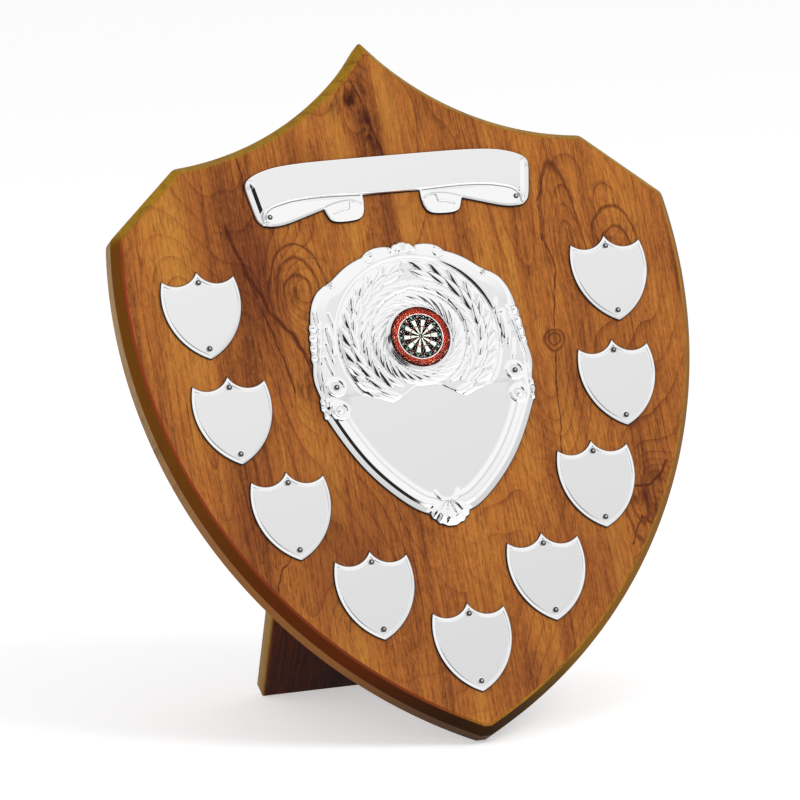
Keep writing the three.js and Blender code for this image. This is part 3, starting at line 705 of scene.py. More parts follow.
def face_wood():
    """Darker and redder in patches, golden beside the joint, with dark stains and lines."""
    tones = ("733e1e", "ad672d", "c48838")
    wood = Wood("board_face_wood", BOARD, tones, KNOTS, JOINT_X, broadness=1.6, fibre=1.35)
    patches = wood.noise(wood.point, (0.05, 0.0, 0.02), detail=3.0) * 1.4 - 0.62
    wood.tint(wood.greatest(patches, wood.strongest(RED_PATCHES)), "c2b0cc", "MULTIPLY")
    wood.tint(wood.strongest(GOLD_PATCHES) * wood.math("GREATER_THAN", wood.x, JOINT_X), "c98a3c")
    smoke = wood.ramp01(wood.noise(wood.point, (0.35, 0.0, 0.13), detail=4.0, roughness=0.65), 0.36, 0.6)
    wood.tint(wood.math("MULTIPLY", wood.strongest(STAINS), smoke * 0.9 + 0.1, clamp=True), "3f180e")
    place = wood.wavering()
    wood.tint(wood.greatest(wood.veins(*place), wood.arches(*place)) * 0.85, "45180f")
    return wood.finish(specular=0.12)


def edge_wood():
    """Tan stain on the board's edge, more olive low down and along the top."""
    wood = Wood("board_edge_wood", BOARD, ("84643c", "a37f50", "b8946a"), pore_depth=0.15)
    wood.tint(wood.ramp01(wood.z, 170.0, 60.0), "8c5512")
    wood.tint(wood.ramp01(wood.z, 210.0, 222.0) * 0.7, "8f6c1c")
    wood.tint(wood.ramp01(wood.z, 42.0, 6.0) * 0.75, "2c190a")
    return wood.finish(specular=0.06)


def chamfer_wood():
    """Golden at the top and right, with painted shade: brown on the left and nearly black at the tip."""
    wood = Wood("board_chamfer_wood", BOARD, ("84600e", "9a7212", "aa8220"), pore_depth=0.15)
    left = wood.ramp01(wood.x, 30.0, -50.0)
    under_top = wood.ramp01(wood.z, 218.0, 212.0)
    wood.tint(wood.ramp01(wood.x, 20.0, 60.0) * under_top * 0.8, "7e4d0c")
    # Painted shade: brown on the left below the top arcs, darker low on the left, and nearly black at the tip
    wood.tint(left * under_top * 0.9, "693a0c")
    wood.tint(left * wood.ramp01(wood.z, 150.0, 40.0) * 0.85, "561e06")
    wood.tint(wood.ramp01(wood.z, 38.0, 6.0) * 0.9, "22100a")
    return wood.finish(specular=0.04)


def arris_wood():
    """The line between the chamfer and the face, dark red on the left and golden on the right."""
    wood = Wood("board_arris_wood", BOARD, ("84540e", "a06c1c", "b07c26"), pore_depth=0.15)
    left = wood.ramp01(wood.x, 10.0, -40.0) * wood.ramp01(wood.z, 222.0, 206.0)
    wood.tint(left * 0.85, "86281a")
    wood.tint(left * wood.ramp01(wood.z, 130.0, 50.0), "7a3416")
    return wood.finish(specular=0.1)


def back_wood():
    wood = Wood("board_back_wood", BOARD, ("4f2a12", "7a4620", "915c2c"), joint=JOINT_X)
    return wood.finish(specular=0.12)


def strut_wood():
    """Wood painted dark as shade, red-brown at the outer edges and nearly black with lengthwise streaks
    between them.
    """
    wood = Wood("strut_wood", STRUT, ("2a0d06", "5c2410", "7c3a1a"), pore_depth=0.9, growth_tone="120402")
    streaks = wood.noise(wood.point, (0.3, 0.1, 0.014), detail=3.0, roughness=0.7)
    inwards = wood.ramp01(wood.math("ABSOLUTE", wood.x), STRUT_WIDTH / 2 - 4, STRUT_WIDTH / 2 - 32)
    # Painted shade: nearly black inwards from the outer edges, broken by the streaks
    black = wood.math("SUBTRACT", streaks * 3.6 + inwards * 0.9, 2.05, clamp=True)
    wood.tint(black * 0.9, "0e0403")
    return wood.finish(specular=0.12)


def strut_edge_wood():
    wood = Wood("strut_edge_wood", STRUT, ("6b4210", "8d6414", "a87a1c"), pore_depth=0.2)
    return wood.finish(specular=0.12)


def chrome():
    """Polished plating, dull and dark where the mesh carries tarnish and painted shade."""
    shader = Shader("plate_chrome", "f7f7f8")
    smear = shader.noise(shader.place(BOARD), (0.05, 0.05, 0.03), detail=4.0)
    tarnish_and_shade = shader.field(shader.node("Attribute", attribute_name="tarnish_and_shade"), "Fac")
    # Painted shade and tarnish: near black where the attribute is 1
    shader.tint(tarnish_and_shade, "2e2d2f")
    return shader.finish(metallic=1.0, roughness=smear * 0.05 + 0.02 + tarnish_and_shade * 0.25)


def metal(name, tone, roughness_low, roughness_range):
    shader = Shader(name, tone)
    point = shader.place(BOARD)
    smear = shader.noise(point, (0.3, 0.3, 0.3), detail=5.0)
    worn = shader.noise(point, (0.12, 0.12, 0.12), detail=4.0)
    shader.tint(shader.ramp01(worn, 0.4, 0.7), linear(tone, 0.72))
    return shader.finish(metallic=1.0, roughness=smear * roughness_range + roughness_low)


# Printed insert: radii of its rings in millimetres
DISC_RIM = 9.4
# Where the rim is painted darker as shadow
DISC_RIM_PAINTED_SHADOW = (10.4, 12.1)
DISC_WHITE = 9.05
DISC_DOUBLE = 6.9
DISC_BLOCKS = (7.15, 7.75)
DISC_TREBLE_OUTER = 4.45
DISC_TREBLE_INNER = 4.0
DISC_MARK_RADIUS = 8.2
DISC_BULL_OUTER = 0.9
DISC_BULL = 0.45
DISC_SOFTNESS = 0.06
SECTORS = 20
SECTOR_ANGLE = 2 * math.pi / SECTORS


def printed_disc():
    """A generic dartboard print: twenty wedges, two rings of red and green, and a glittering red rim, its
    glints painted as bright specks and its outer edge painted darker as shadow.
    """
    black, red, green = "0b0c0c", "8c2430", "0f6a3c"
    shader = Shader("printed_disc", black)
    x, _, z = shader.parts(shader.place(BOARD))
    z = z - (CENTRE_BOTTOM + WREATH_HEIGHT)
    flat = shader.join(x, 0.0, z)
    radius = shader.length(flat)
    turn = shader.math("ARCTAN2", x, z) * (1 / SECTOR_ANGLE) + (SECTORS + 0.5)
    odd = shader.math("ABSOLUTE", shader.math("MODULO", shader.math("FLOOR", turn), 2.0))
    step = shader.math("FRACT", turn) - 0.5

    def between(inner, outer):
        above = shader.ramp01(radius, inner - DISC_SOFTNESS, inner + DISC_SOFTNESS)
        return above * shader.ramp01(radius, outer + DISC_SOFTNESS, outer - DISC_SOFTNESS)

    # A thin dark gap parts the wedges
    shader.tint(odd * shader.ramp01(shader.math("ABSOLUTE", step), 0.47, 0.37), "f2efe2")
    shader.tint(between(DISC_TREBLE_INNER, DISC_TREBLE_OUTER), shader.mix(odd, red, green))
    shader.tint(between(0.0, DISC_BULL_OUTER), green)
    shader.tint(between(-1.0, DISC_BULL), red)
    shader.tint(between(DISC_DOUBLE, DISC_WHITE), black)
    shader.tint(between(*DISC_BLOCKS) * 0.9, shader.mix(odd, "5e1a16", "12553a"))
    shader.tint(between(DISC_WHITE, DISC_RIM), "efe6e0")
    # Pale marks in each wedge of the black ring
    across = step * (SECTOR_ANGLE * DISC_MARK_RADIUS)
    away = shader.length(shader.join(across, radius - DISC_MARK_RADIUS, 0.0))
    shader.tint(shader.ramp01(away, 0.55, 0.2) * 0.7, "b9c9c0")
    # The rim's red glitter: mottled, painted darker at its outer edge as shadow, with its glints painted as
    # bright specks
    painted_glints = shader.node("TexVoronoi", {"Vector": flat, "Scale": 0.55}, feature="F1", voronoi_dimensions="3D")
    mottled = shader.ramp01(shader.noise(flat, (0.9, 0.9, 0.9), detail=4.0, roughness=0.7), 0.35, 0.62)
    dull = shader.ramp01(shader.noise(flat, (0.1, 0.1, 0.1), detail=1.0), 0.42, 0.6)
    rim = shader.mix(mottled, "6e0c07", "cf3c1c")
    rim = shader.mix(dull * 0.5, rim, "5c1508")
    # Painted shadow round the rim's outer edge
    rim = shader.mix(shader.ramp01(radius, *DISC_RIM_PAINTED_SHADOW) * 0.92, rim, "2c0603")
    # Painted glints: bright specks on the red rim
    rim = shader.mix(shader.ramp01(painted_glints.outputs["Distance"], 0.2, 0.08) * 0.85, rim, "ffc8a0")
    shader.tint(shader.ramp01(radius, DISC_RIM - 0.05, DISC_RIM + 0.1), rim)
    return shader.finish(roughness=0.5, specular=0.05)


BOARD_WOODS = [face_wood(), edge_wood(), chamfer_wood(), back_wood(), arris_wood()]
FACE_WOOD, EDGE_WOOD, CHAMFER_WOOD, BACK_WOOD, ARRIS_WOOD = range(5)
STRUT_WOODS = [strut_wood(), strut_edge_wood()]
CHROME = chrome()
PIN_STEEL = metal("pin_steel", "ededee", 0.03, 0.06)
# Painted shade: a dark copy of the pin steel for the domes of the pin heads
PIN_PAINTED_SHADE = metal("pin_painted_shade", "4c4c4f", 0.2, 0.1)
BRASS = metal("hinge_brass", "b99a55", 0.28, 0.2)
STEEL = metal("screw_steel", "b9b4a8", 0.25, 0.2)
DISC = printed_disc()
RESIN = Shader("clear_resin", "ffffff").finish(roughness=0.02, ior=1.14, transmission=1.0)


# Board

# How far along the edge each corner's rounding reaches
CORNER_REACH = 1.6
WALL_TOP = BOARD_THICKNESS - CHAMFER_DEPTH
# Across the edge, from back to face: how far inside the outline, and the rise from the back. Each wood
# covers the bands that start at its points.
EDGE_PROFILE = {
    BACK_WOOD: [(0.9, 0)],
    EDGE_WOOD: [(0.7, 0), (0.25, 0.15), (0, 0.6), (0, 0.8), (0, WALL_TOP - 0.6)],
    CHAMFER_WOOD: [
        (0, WALL_TOP - 0.4), (0.1, WALL_TOP + 0.1), (0.4, WALL_TOP + 0.6), (0.55, WALL_TOP + 0.82),
    ],
    ARRIS_WOOD: [
        (CHAMFER_WIDTH - 0.5, BOARD_THICKNESS - 0.62), (CHAMFER_WIDTH - 0.35, BOARD_THICKNESS - 0.4),
        (CHAMFER_WIDTH, BOARD_THICKNESS - 0.1), (CHAMFER_WIDTH + 0.35, BOARD_THICKNESS),
    ],
    FACE_WOOD: [(CHAMFER_WIDTH + 0.45, BOARD_THICKNESS)],
}


def board_outline():
    top = (0, BOARD_HEIGHT)
    tip = (TIP_HALF_WIDTH, 0)
    return mirrored([
        tip, *arc(tip, CORNER, SIDE_ARC_RADIUS, 70, True),
        CORNER, *[tuple((1 - t) * np.array(CORNER) + t * np.array(SHOULDER)) for t in (0.12, 0.5, 0.88)],
        SHOULDER, *arc(SHOULDER, top, TOP_ARC_RADIUS, 30, False)[:-2],
        top,
    ])


def inset(outline, distance):
    """The outline moved inwards, each vertex along its bisector."""
    arriving = unit(outline - np.roll(outline, 1, axis=0))
    leaving = unit(np.roll(outline, -1, axis=0) - outline)
    inward = beside(arriving + leaving)
    lean = inward[:, 0] * -arriving[:, 1] + inward[:, 1] * arriving[:, 0]
    return outline + inward * (distance / lean)[:, None]


def softened(outline, corners, reach, steps=6):
    """Rounds some vertices, given by their numbers, with short curves."""
    points = []
    for i, point in enumerate(outline):
        if i not in corners:
            points.append(point)
            continue
        before, after = outline[i - 1], outline[(i + 1) % len(outline)]
        first = point + (before - point) * reach / np.linalg.norm(before - point)
        last = point + (after - point) * reach / np.linalg.norm(after - point)
        for t in np.linspace(0, 1, steps):
            points.append((1 - t) ** 2 * first + 2 * t * (1 - t) * point + t**2 * last)
    return np.array(points)


def build_board():
    base = board_outline()
    corners = [(side * x, z) for x, z in (CORNER, SHOULDER) for side in (1, -1)] + [(0, BOARD_HEIGHT)]
    picks = [int(np.argmin(np.hypot(*(base - corner).T))) for corner in corners]
    rings, band_woods = [], []
    for wood, profile in EDGE_PROFILE.items():
        for inward, rise in profile:
            ring = softened(inset(base, inward), picks, CORNER_REACH)
            rings.append(np.insert(ring, 1, rise - BOARD_THICKNESS, axis=1))
            band_woods += [wood] * len(ring)
    vertices, faces = rings_to_mesh(rings)
    paint = [BACK_WOOD, FACE_WOOD, *band_woods][:len(faces)]
    shape = on_face(vertices), faces
    add_piece("board", "backboard", shape, BOARD_WOODS, paint, sharp_degrees=60)


# Strut, in the hinge's frame: the plank hangs below the pin when it is folded

STRUT_SOFTNESS = 0.7


def build_strut():
    front, rear = -PIN_STANDOFF, -PIN_STANDOFF - STRUT_THICKNESS
    half = STRUT_WIDTH / 2
    reach = (HINGE_FLOOR + PIN_STANDOFF * math.sin(STRUT_LEAN)) / math.cos(STRUT_LEAN)

    def bevel_height(depth):
        return (depth * math.cos(OPEN_ANGLE) + PIN_STANDOFF - SEAT_GAP) / math.sin(OPEN_ANGLE)

    rings = []
    near_rear = [(STRUT_SOFTNESS, rear), (0.2, rear + 0.2), (0, rear + STRUT_SOFTNESS)]
    near_front = [(0, front - STRUT_SOFTNESS), (0.2, front - 0.2), (STRUT_SOFTNESS, front)]
    for inward, rise in near_rear + near_front:
        side, foot, top = half - inward, -reach + inward * 0.5, bevel_height(-rise) - inward
        corners = [(-side, foot), (side, foot), (side, top), (-side, top)]
        rings.append(np.array([(x, rise, z) for x, z in corners]))
    vertices, faces = rings_to_mesh(rings)
    # The two broad faces, and then the edges
    paint = [0, 0] + [1] * (len(faces) - 2)
    shape = moved(STRUT, vertices * (1, -1, 1)), faces
    add_piece("strut_leg", "strut", shape, STRUT_WOODS, paint, sharp_degrees=50, body="strut")


# Pressed plates: where the cut edge starts, how high the sheet stands on the board, and how wide its roll is
EDGE_RISE = 0.3
SHEET_RISE = 1.0
ROLL_WIDTH = 0.35
# Rings of points that follow the edge of the two big plates
RIM_INSETS = [0.03, 0.08, 0.15, 0.22, 0.38, 0.55, 0.8, 1.1]


def sheet_edge(distance, high=SHEET_RISE, reach=ROLL_WIDTH):
    """The rounded edge of a pressed sheet: steep at the outline and level at its reach."""
    share = np.clip(distance / reach, 0, 1)
    return EDGE_RISE + (high - EDGE_RISE) * np.sqrt(np.maximum(1 - (1 - share) ** 2, 0))


def add_plate(name, node, sheet, x, height):
    """A pressed plate from relief's sheet, moved to its place on the face."""
    vertices, faces, normals, tarnish_and_shade = sheet
    shape = on_face(vertices, x, height), faces
    piece = add_piece(name, node, shape, [CHROME], normals=normals)
    # The chrome shader darkens the plate by this tarnish and painted shade
    piece.data.attributes.new("tarnish_and_shade", "FLOAT", "POINT").data.foreach_set("value", tarnish_and_shade)


# Pins, from the shank's end up to the dimple on the head. The flange has radii and rises from the plate.
PIN_FACETS = 32
PIN_DEPTH = 2
SHANK_RADIUS = 0.6
PIN_FLANGE = [(1.5, -0.1), (1.48, 0.06), (1.38, 0.12)]
DOME_WIDTH = 0.7
DOME_HEIGHT = 0.75
DIMPLE_RADIUS = 0.42
DIMPLE_DEPTH = 0.2


def pin_head(plate, node, end, x, rise, z):
    """A small domed nail head at one end of a plate, its dome painted dark as shade between its bright flange
    and dimple.
    """
    flange = [(radius, rise + step) for radius, step in PIN_FLANGE]
    foot, base = flange[0][1], flange[-1][1]
    shank = [(0, -PIN_DEPTH), (SHANK_RADIUS, -PIN_DEPTH), (SHANK_RADIUS, foot)]
    angles = np.radians(np.linspace(0, 90, 9))
    dome = [(DIMPLE_RADIUS + DOME_WIDTH * math.cos(a), base + DOME_HEIGHT * math.sin(a)) for a in angles]
    floor = base + DOME_HEIGHT - DIMPLE_DEPTH
    profile = [*shank, *flange, *dome, (DIMPLE_RADIUS * 0.7, floor), (0, floor)]
    vertices, faces = turned(profile, PIN_FACETS)
    first = len(shank) + len(flange) - 1
    # The dome's bands are painted dark as shade
    dull = range(first * PIN_FACETS, (first + len(dome) - 1) * PIN_FACETS)
    shape = on_face(vertices, x, z), faces
    paint = [int(i in dull) for i in range(len(faces))]
    name, node = f"{plate}_{end}_pin", f"{node}_pin_{end}"
    add_piece(name, node, shape, [PIN_STEEL, PIN_PAINTED_SHADE], paint, sharp_degrees=40)


def side_pins(plate, node, place, rise, bottom):
    """A pin at each side of a plate, at a place given from the middle of the plate's bottom."""
    for side, end in ((-1, "left"), (1, "right")):
        pin_head(plate, node, end, side * place[0], rise, bottom + place[1])


# Small record shields

SMALL_INSETS = [0.03, 0.08, 0.15, 0.22, 0.4, 0.6, 0.85, 1.1, 1.3, 1.4, 1.5, 1.6, 1.7, 1.8, 2.0]
SMALL_PIN_INSETS = {"top": 4.9, "bottom": 4.4}
SMALL_PIN_RISE = 1.15


def small_outline():
    bottom, top = (0, 0), (0, SMALL_HEIGHT)
    corner = (SMALL_CORNER_HALF_WIDTH, SMALL_HEIGHT - SMALL_CORNER_DROP)
    return mirrored([
        bottom, *arc(bottom, corner, SMALL_SIDE_RADIUS, 24, True),
        corner, *arc(corner, top, SMALL_DIP_RADIUS, 14, False),
        top,
    ])


def small_rise(x, z, distance):
    """A bright rolled edge, an engraved line inside it, and a plain field."""
    line = 0.11 * swell(distance - 1.5, 0.17)
    return sheet_edge(distance, 0.95, 0.32) + 0.14 * slope(distance, 0.3, 1.4) - line


def small_places():
    """Each small shield's x and the height of its bottom, down the left side and up the right side."""
    rows = [(across * CORNER[0], up * BOARD_HEIGHT - SMALL_HEIGHT) for across, up in SMALL_ROW_SHARES]
    return [(-x, bottom) for x, bottom in rows] + [(x, bottom) for x, bottom in reversed(rows) if x > 0]


def build_small_shields():
    sheet = relief(small_outline(), small_rise, SMALL_INSETS, edge_spacing=0.4, grid_spacing=2.5)
    for number, (x, bottom) in enumerate(small_places(), start=1):
        name, node = f"record_shield_{number}", f"side_shield_{number}"
        add_plate(name, node, sheet, x, bottom)
        for end, inset_by in SMALL_PIN_INSETS.items():
            height = SMALL_HEIGHT - inset_by if end == "top" else inset_by
            pin_head(name, node, end, x, SMALL_PIN_RISE, bottom + height)


# Title scroll. Its shapes are shares of its half width and height, and the other places millimetres.
SCROLL_OUTLINE_RUNS = [
    [(0, 0.392), (0.196, 0.392)],
    [(0.197, 0.25), (0.207, 0.13), (0.24, 0.035), (0.3, 0.0), (0.395, -0.002), (0.447, 0.037), (0.471, 0.125),
     (0.484, 0.215)],
    [(0.6, 0.135), (0.741, 0.042), (0.824, 0.015), (0.898, 0.03), (0.939, 0.093), (0.962, 0.2),
     (0.985, 0.455), (0.998, 0.63), (0.993, 0.735), (0.956, 0.821), (0.873, 0.903), (0.741, 0.966),
     (0.494, 0.996), (0, 1)],
]
SCROLL_RIBBON_EDGE = [
    (0, 0.385), (0.2, 0.4), (0.494, 0.418), (0.66, 0.398), (0.741, 0.369), (0.84, 0.306), (0.881, 0.213),
    (0.893, 0.06), (0.923, 0.02),
]
SCROLL_RIBBON_TOP = [
    (0.923, 0.02), (1.0, 0.1), (1.02, 0.642), (1.02, 0.9), (0.873, 1.02), (0.494, 1.05), (0, 1.05),
]
SCROLL_CURL_SHARES = [
    (0.19, 0.13), (0.24, 0.0), (0.3, -0.05), (0.42, -0.05), (0.48, 0.03), (0.485, 0.2), (0.46, 0.265),
    (0.36, 0.325), (0.27, 0.325), (0.2, 0.24), (0.19, 0.13),
]
# The ledge pressed into each curl, the fold at each end by height, and the pins with the rings round them
SCROLL_LEDGE = [
    (25.4, 3.7), (22, 4.8), (19.2, 5.1), (18.6, 5.6), (18.4, 7.6), (17.9, 8.2), (15, 7.9), (13.4, 6.9),
]
SCROLL_FOLD_HEIGHTS = [2.5, 5, 10.5, 15.5, 19.5, 21]
SCROLL_FOLD = [54.4, 55.0, 56.0, 56.9, 57.6, 58.4]
SCROLL_PIN = (52.2, 4.6)
SCROLL_PIN_RINGS = (2.6, 3.7)
SCROLL_PIN_RISE = 1.1
RIBBON_RISE = 1.85
CURL_RISE = 1.5


def scroll_shape(shares):
    return runs([shares], SCROLL_HALF_WIDTH, SCROLL_HEIGHT)


SCROLL_RIBBON = mirrored([*scroll_shape(SCROLL_RIBBON_EDGE), *scroll_shape(SCROLL_RIBBON_TOP)[1:]])
SCROLL_CURL = np.array(scroll_shape(SCROLL_CURL_SHARES))


def scroll_rise(x, z, distance):
    side = np.abs(x)
    on_ribbon = inside(SCROLL_RIBBON, x, z)
    on_curl = inside(SCROLL_CURL[:-1], side, z)
    beyond_edge = slope(distance, 0.2, 0.7)
    within = smooth((distance - 0.6) / 0.6)
    rise = sheet_edge(distance) + 0.12 * slope(distance, 0.3, 1.2)
    # The ribbon lies over its two tabs, and folds back at both ends
    rise = rise + 0.055 * np.clip(10 - z, 0, 9) * slope(on_ribbon, 1.0, 0)
    rise = towards(rise, RIBBON_RISE, slope(on_ribbon, 0, 0.6) * beyond_edge)
    rise = rise - 0.16 * swell(on_ribbon + 0.05, 0.22) * within
    fold = side - np.interp(z, SCROLL_FOLD_HEIGHTS, SCROLL_FOLD)
    rise = rise - 0.55 * slope(fold, -0.9, 1.0) * slope(on_ribbon, 0, 1.0) * smooth((21.5 - z) / 5)
    # The two curls at the tabs' inner ends
    curl = CURL_RISE + 0.05 * np.clip(9 - z, 0, 9)
    rise = towards(rise, curl, slope(on_curl, -0.2, 0.5) * beyond_edge)
    rise = rise - 0.12 * swell(on_curl, 0.22) * within
    gap, _ = line_distance(SCROLL_LEDGE, side, z)
    rise = rise - 0.25 * swell(gap, 0.3) * smooth(on_curl / 0.6)
    away = np.hypot(side - SCROLL_PIN[0], z - SCROLL_PIN[1])
    for ring in SCROLL_PIN_RINGS:
        rise = rise - 0.11 * swell(away - ring, 0.22) * smooth((side - 51.5) / 2) * smooth(distance / 0.6)
    return np.maximum(rise, EDGE_RISE)


def build_scroll():
    outline = mirrored(runs(SCROLL_OUTLINE_RUNS, SCROLL_HALF_WIDTH, SCROLL_HEIGHT))
    seams = [scroll_shape(SCROLL_RIBBON_EDGE), SCROLL_CURL, SCROLL_LEDGE]
    seams = both_sides([*seams, *[circle(SCROLL_PIN, ring) for ring in SCROLL_PIN_RINGS]])
    sheet = relief(outline, scroll_rise, RIM_INSETS, edge_spacing=0.3, grid_spacing=0.36, seams=seams)
    add_plate("engraving_scroll", "title_scroll", sheet, 0, SCROLL_BOTTOM)
    side_pins("engraving_scroll", "title_scroll", SCROLL_PIN, SCROLL_PIN_RISE, SCROLL_BOTTOM)


# Centre shield. Right half of the outline as shares of half width and height; corners part the stretches.
CENTRE_OUTLINE_RUNS = [
    [(0, 0), (0.04, 0.001), (0.082, 0.01)],
    [(0.115, 0.013), (0.14, 0.027)],
    [(0.168, 0.033), (0.18, 0.048)],
    [(0.217, 0.046), (0.325, 0.071), (0.434, 0.109), (0.542, 0.153), (0.651, 0.195), (0.737, 0.246),
     (0.835, 0.309), (0.911, 0.374), (0.944, 0.403)],
    [(0.968, 0.41), (0.968, 0.432)],
    [(0.985, 0.44), (0.98, 0.46)],
    [(0.985, 0.472), (0.97, 0.482)],
    [(0.985, 0.505), (1, 0.534), (1, 0.565), (0.985, 0.6)],
    [(0.994, 0.618), (0.982, 0.637)],
    [(0.988, 0.655), (0.972, 0.672)],
    [(0.98, 0.69), (0.962, 0.707)],
    [(0.967, 0.726), (0.945, 0.742)],
    [(0.931, 0.773), (0.898, 0.811), (0.842, 0.845), (0.77, 0.867)],
    [(0.72, 0.873), (0.694, 0.876), (0.64, 0.903), (0.553, 0.929), (0.456, 0.948), (0.38, 0.955)],
    [(0.336, 0.971), (0.26, 0.983), (0.174, 0.986), (0.104, 0.982)],
    [(0.08, 0.992), (0.054, 0.993)],
    [(0.03, 1.0), (0, 1)],
]
RELAXING_PASSES = 90
# Places in millimetres from the shield's bottom tip, those of round things with their radius behind them.
# Ridges have the points of their line, their half width and their height.
FIELD_TOP = curve_through([
    (0, 58.5), (5, 58.4), (9, 56.2), (14.5, 53), (17, 53.4), (22, 55.4), (28, 57.2), (32, 57),
])
BEADS = [(42.4, 86.2, 1.9), (43, 82, 1.9), (43.5, 77.8, 1.8), (43.9, 73.9, 1.7)]
BEAD_HEIGHT = 1.2
EDGE_KNOBS = [(44.2, 55.6, 1.3), (44.3, 52.8, 1.5), (43.7, 49.9, 1.4)]
EDGE_KNOB_HEIGHT = 1.1
KNOB_BASE = 0.9
SIDE_RIDGES = [
    ([(39.3, 87.5), (42, 76), (43.5, 68), (43.6, 60)], 0.5, 0.4),
    ([(36.9, 85.5), (36.4, 80), (36.3, 75)], 0.8, 0.7),
    ([(35.4, 91), (34.8, 88.5), (34.4, 86)], 0.5, 0.4),
    ([(38.4, 79), (37.7, 75), (36.9, 71)], 0.45, 0.35),
    ([(39.8, 73.5), (38.8, 69), (37.8, 66)], 0.45, 0.35),
]
PIN_BOSS = (37.6, 60.8, 3.3)
VOLUTE = (37.4, 51.2, 3.1)
BOSS_RISE = 2.0
TOP_SCROLLS = [(14.6, 113.2, 1.7), (32.4, 103.4, 1.2)]
# The crescent is the lower part of a ring: its middle, its radius and the height where it ends
CRESCENT_HEIGHT = 15
CRESCENT_RADIUS = 4.6
CRESCENT_END = 15.6
# The plain field's rise, and how far from the middle and from the edge it reaches
FIELD_RISE = 1.77
FIELD_HALF_WIDTH = 35
FIELD_INSET = 7.5
# The heights where the wide border takes over from the lower rim, and where its step starts to narrow
BORDER_FROM = 52
STEP_NARROWS = 86
# The two fans: the height of their middle, how many flutes in half a turn, and over what heights, turns, half
# widths and insets they fade in
FAN_HEIGHT = 12
FAN_FLUTES = 7.2
FAN_HEIGHTS = (11.0, 10.2)
FAN_TURNS = (1.12, 0.9)
FAN_INSETS = (0, 3.2)
TOP_FAN_HEIGHT = 107
TOP_FAN_FLUTES = 5
TOP_FAN_HEIGHTS = (113.8, 114.6)
TOP_FAN_SIDES = (5.8, 4.8)
TOP_FAN_INSETS = (0.1, 0.7)
# The wreath from the inside out: collar, rope, leaves, groove, and the seam, which has rows of points along
# its upper arc
COLLAR_RADIUS = 12.8
COLLAR_RISE = 2.3
ROPE_RADIUS = 16.7
ROPE_HALF_WIDTH = 3.0
ROPE_STRANDS = 24
ROPE_SLOPE = 0.577
LEAVES_FROM = 20.6
WREATH_RISE = 2.0
BESIDE_WREATH_RISE = 1.5
WREATH_OUTER = 33.3
WREATH_GROOVE = 33.7
WREATH_SEAM = 34.0
UPPER_ARC = slice(3, 22)
# The leaves at each joint of a branch: ring radius, lean, length, half width, and degrees further round
LEAVES = [
    (24.4, 26, 12.5, 1.8, 6), (28.0, -18, 12.5, 1.9, 0), (21.8, 12, 12.0, 1.6, -4), (26.4, 3, 12.5, 1.8, -7),
]
LEAF_CROWN = 0.62
LEAF_BASE_RISE = 1.6
LEAF_TIP_RISE = 2.35
BRANCH_JOINTS = np.radians(-62 + 14.5 * np.arange(10))
# More rings of points for the step and the crest inside the lower edge
CREST_INSETS = [1.6, 2.1, 2.4, 2.6, 2.8, 3.0, 3.2, 3.4, 3.6, 3.9, 4.3, 4.7]


def lay_leaf(rise, x, z, base, angle, length, width):
    """Lays one pointed leaf over the relief. It climbs from its base to its tip and drops at both sides."""
    near = np.flatnonzero(np.hypot(x - base[0], z - base[1]) < length)
    off_x, off_z = x[near] - base[0], z[near] - base[1]
    along = off_x * math.cos(angle) + off_z * math.sin(angle)
    across = -off_x * math.sin(angle) + off_z * math.cos(angle)
    share = np.clip(along / length, 1e-4, 1 - 1e-4)
    half = width * np.sin(np.pi * share**0.75) ** 0.75
    ratio = np.abs(across) / np.maximum(half, 1e-3)
    climb = LEAF_BASE_RISE + (LEAF_TIP_RISE - LEAF_BASE_RISE) * share
    shape = climb + LEAF_CROWN * half / width * (1 - np.minimum(ratio, 1) ** 1.8)
    covers = (along > 0) & (ratio < 1) & (shape > rise[near])
    rise[near[covers]] = shape[covers]


def wreath_rise(x, z):
    """Two laurel branches that climb from the bottom to the top, round a twisted rope ring."""
    up = z - WREATH_HEIGHT
    radius = np.hypot(x, up)
    rise = np.full(x.shape, WREATH_RISE)
    for turn in BRANCH_JOINTS:
        for side in (1, -1):
            for ring, lean, length, half_width, later in LEAVES:
                start = turn + math.radians(later)
                base = (side * ring * math.cos(start), WREATH_HEIGHT + ring * math.sin(start))
                heading = start + math.pi / 2 + math.radians(lean)
                angle = heading if side > 0 else math.pi - heading
                lay_leaf(rise, x, z, base, angle, length, half_width)
    rise = towards(rise, WREATH_RISE, smooth(LEAVES_FROM - radius))
    offset = (radius - ROPE_RADIUS) / ROPE_HALF_WIDTH
    hump = np.clip(1 - offset**2, 0, 1)
    phase = ROPE_STRANDS / 2 * (np.arctan2(up, x) - np.log(np.maximum(radius, 1)) / ROPE_SLOPE)
    rope = 1.9 + 0.75 * hump + 0.3 * (np.abs(np.cos(phase)) - 0.6) * hump**0.6
    rise = np.where(np.abs(offset) < 1, rope, rise)
    # A plain collar round the insert
    return towards(rise, COLLAR_RISE, slope(radius, COLLAR_RADIUS + 1.2, COLLAR_RADIUS + 0.6))


def knob(rise, x, z, place, height, base):
    """A round bead that stands on the relief."""
    away = np.hypot(x - place[0], z - place[1]) / place[2]
    return np.where(away < 1, np.maximum(rise, base + height * (1 - away**2)), rise)


def ridge(x, z, points, half_width, height):
    gap, along = line_distance(points, x, z)
    return height * np.sin(np.pi * np.clip(along, 0.06, 0.94)) ** 0.4 * swell(gap, half_width)


def lower_rim(distance):
    """From the edge: a flat flange, a step up to a broad crest, and a gentle cove down to the plain field."""
    flange = sheet_edge(distance) + 0.1 * slope(distance, 0.3, 2.2)
    step = 0.47 * slope(distance, 2.4, 3.55)
    crest = 0.42 * slope(distance, 3.7, 6.6)
    return flange + step + crest - 0.25 * slope(distance, 6.8, 9.4)


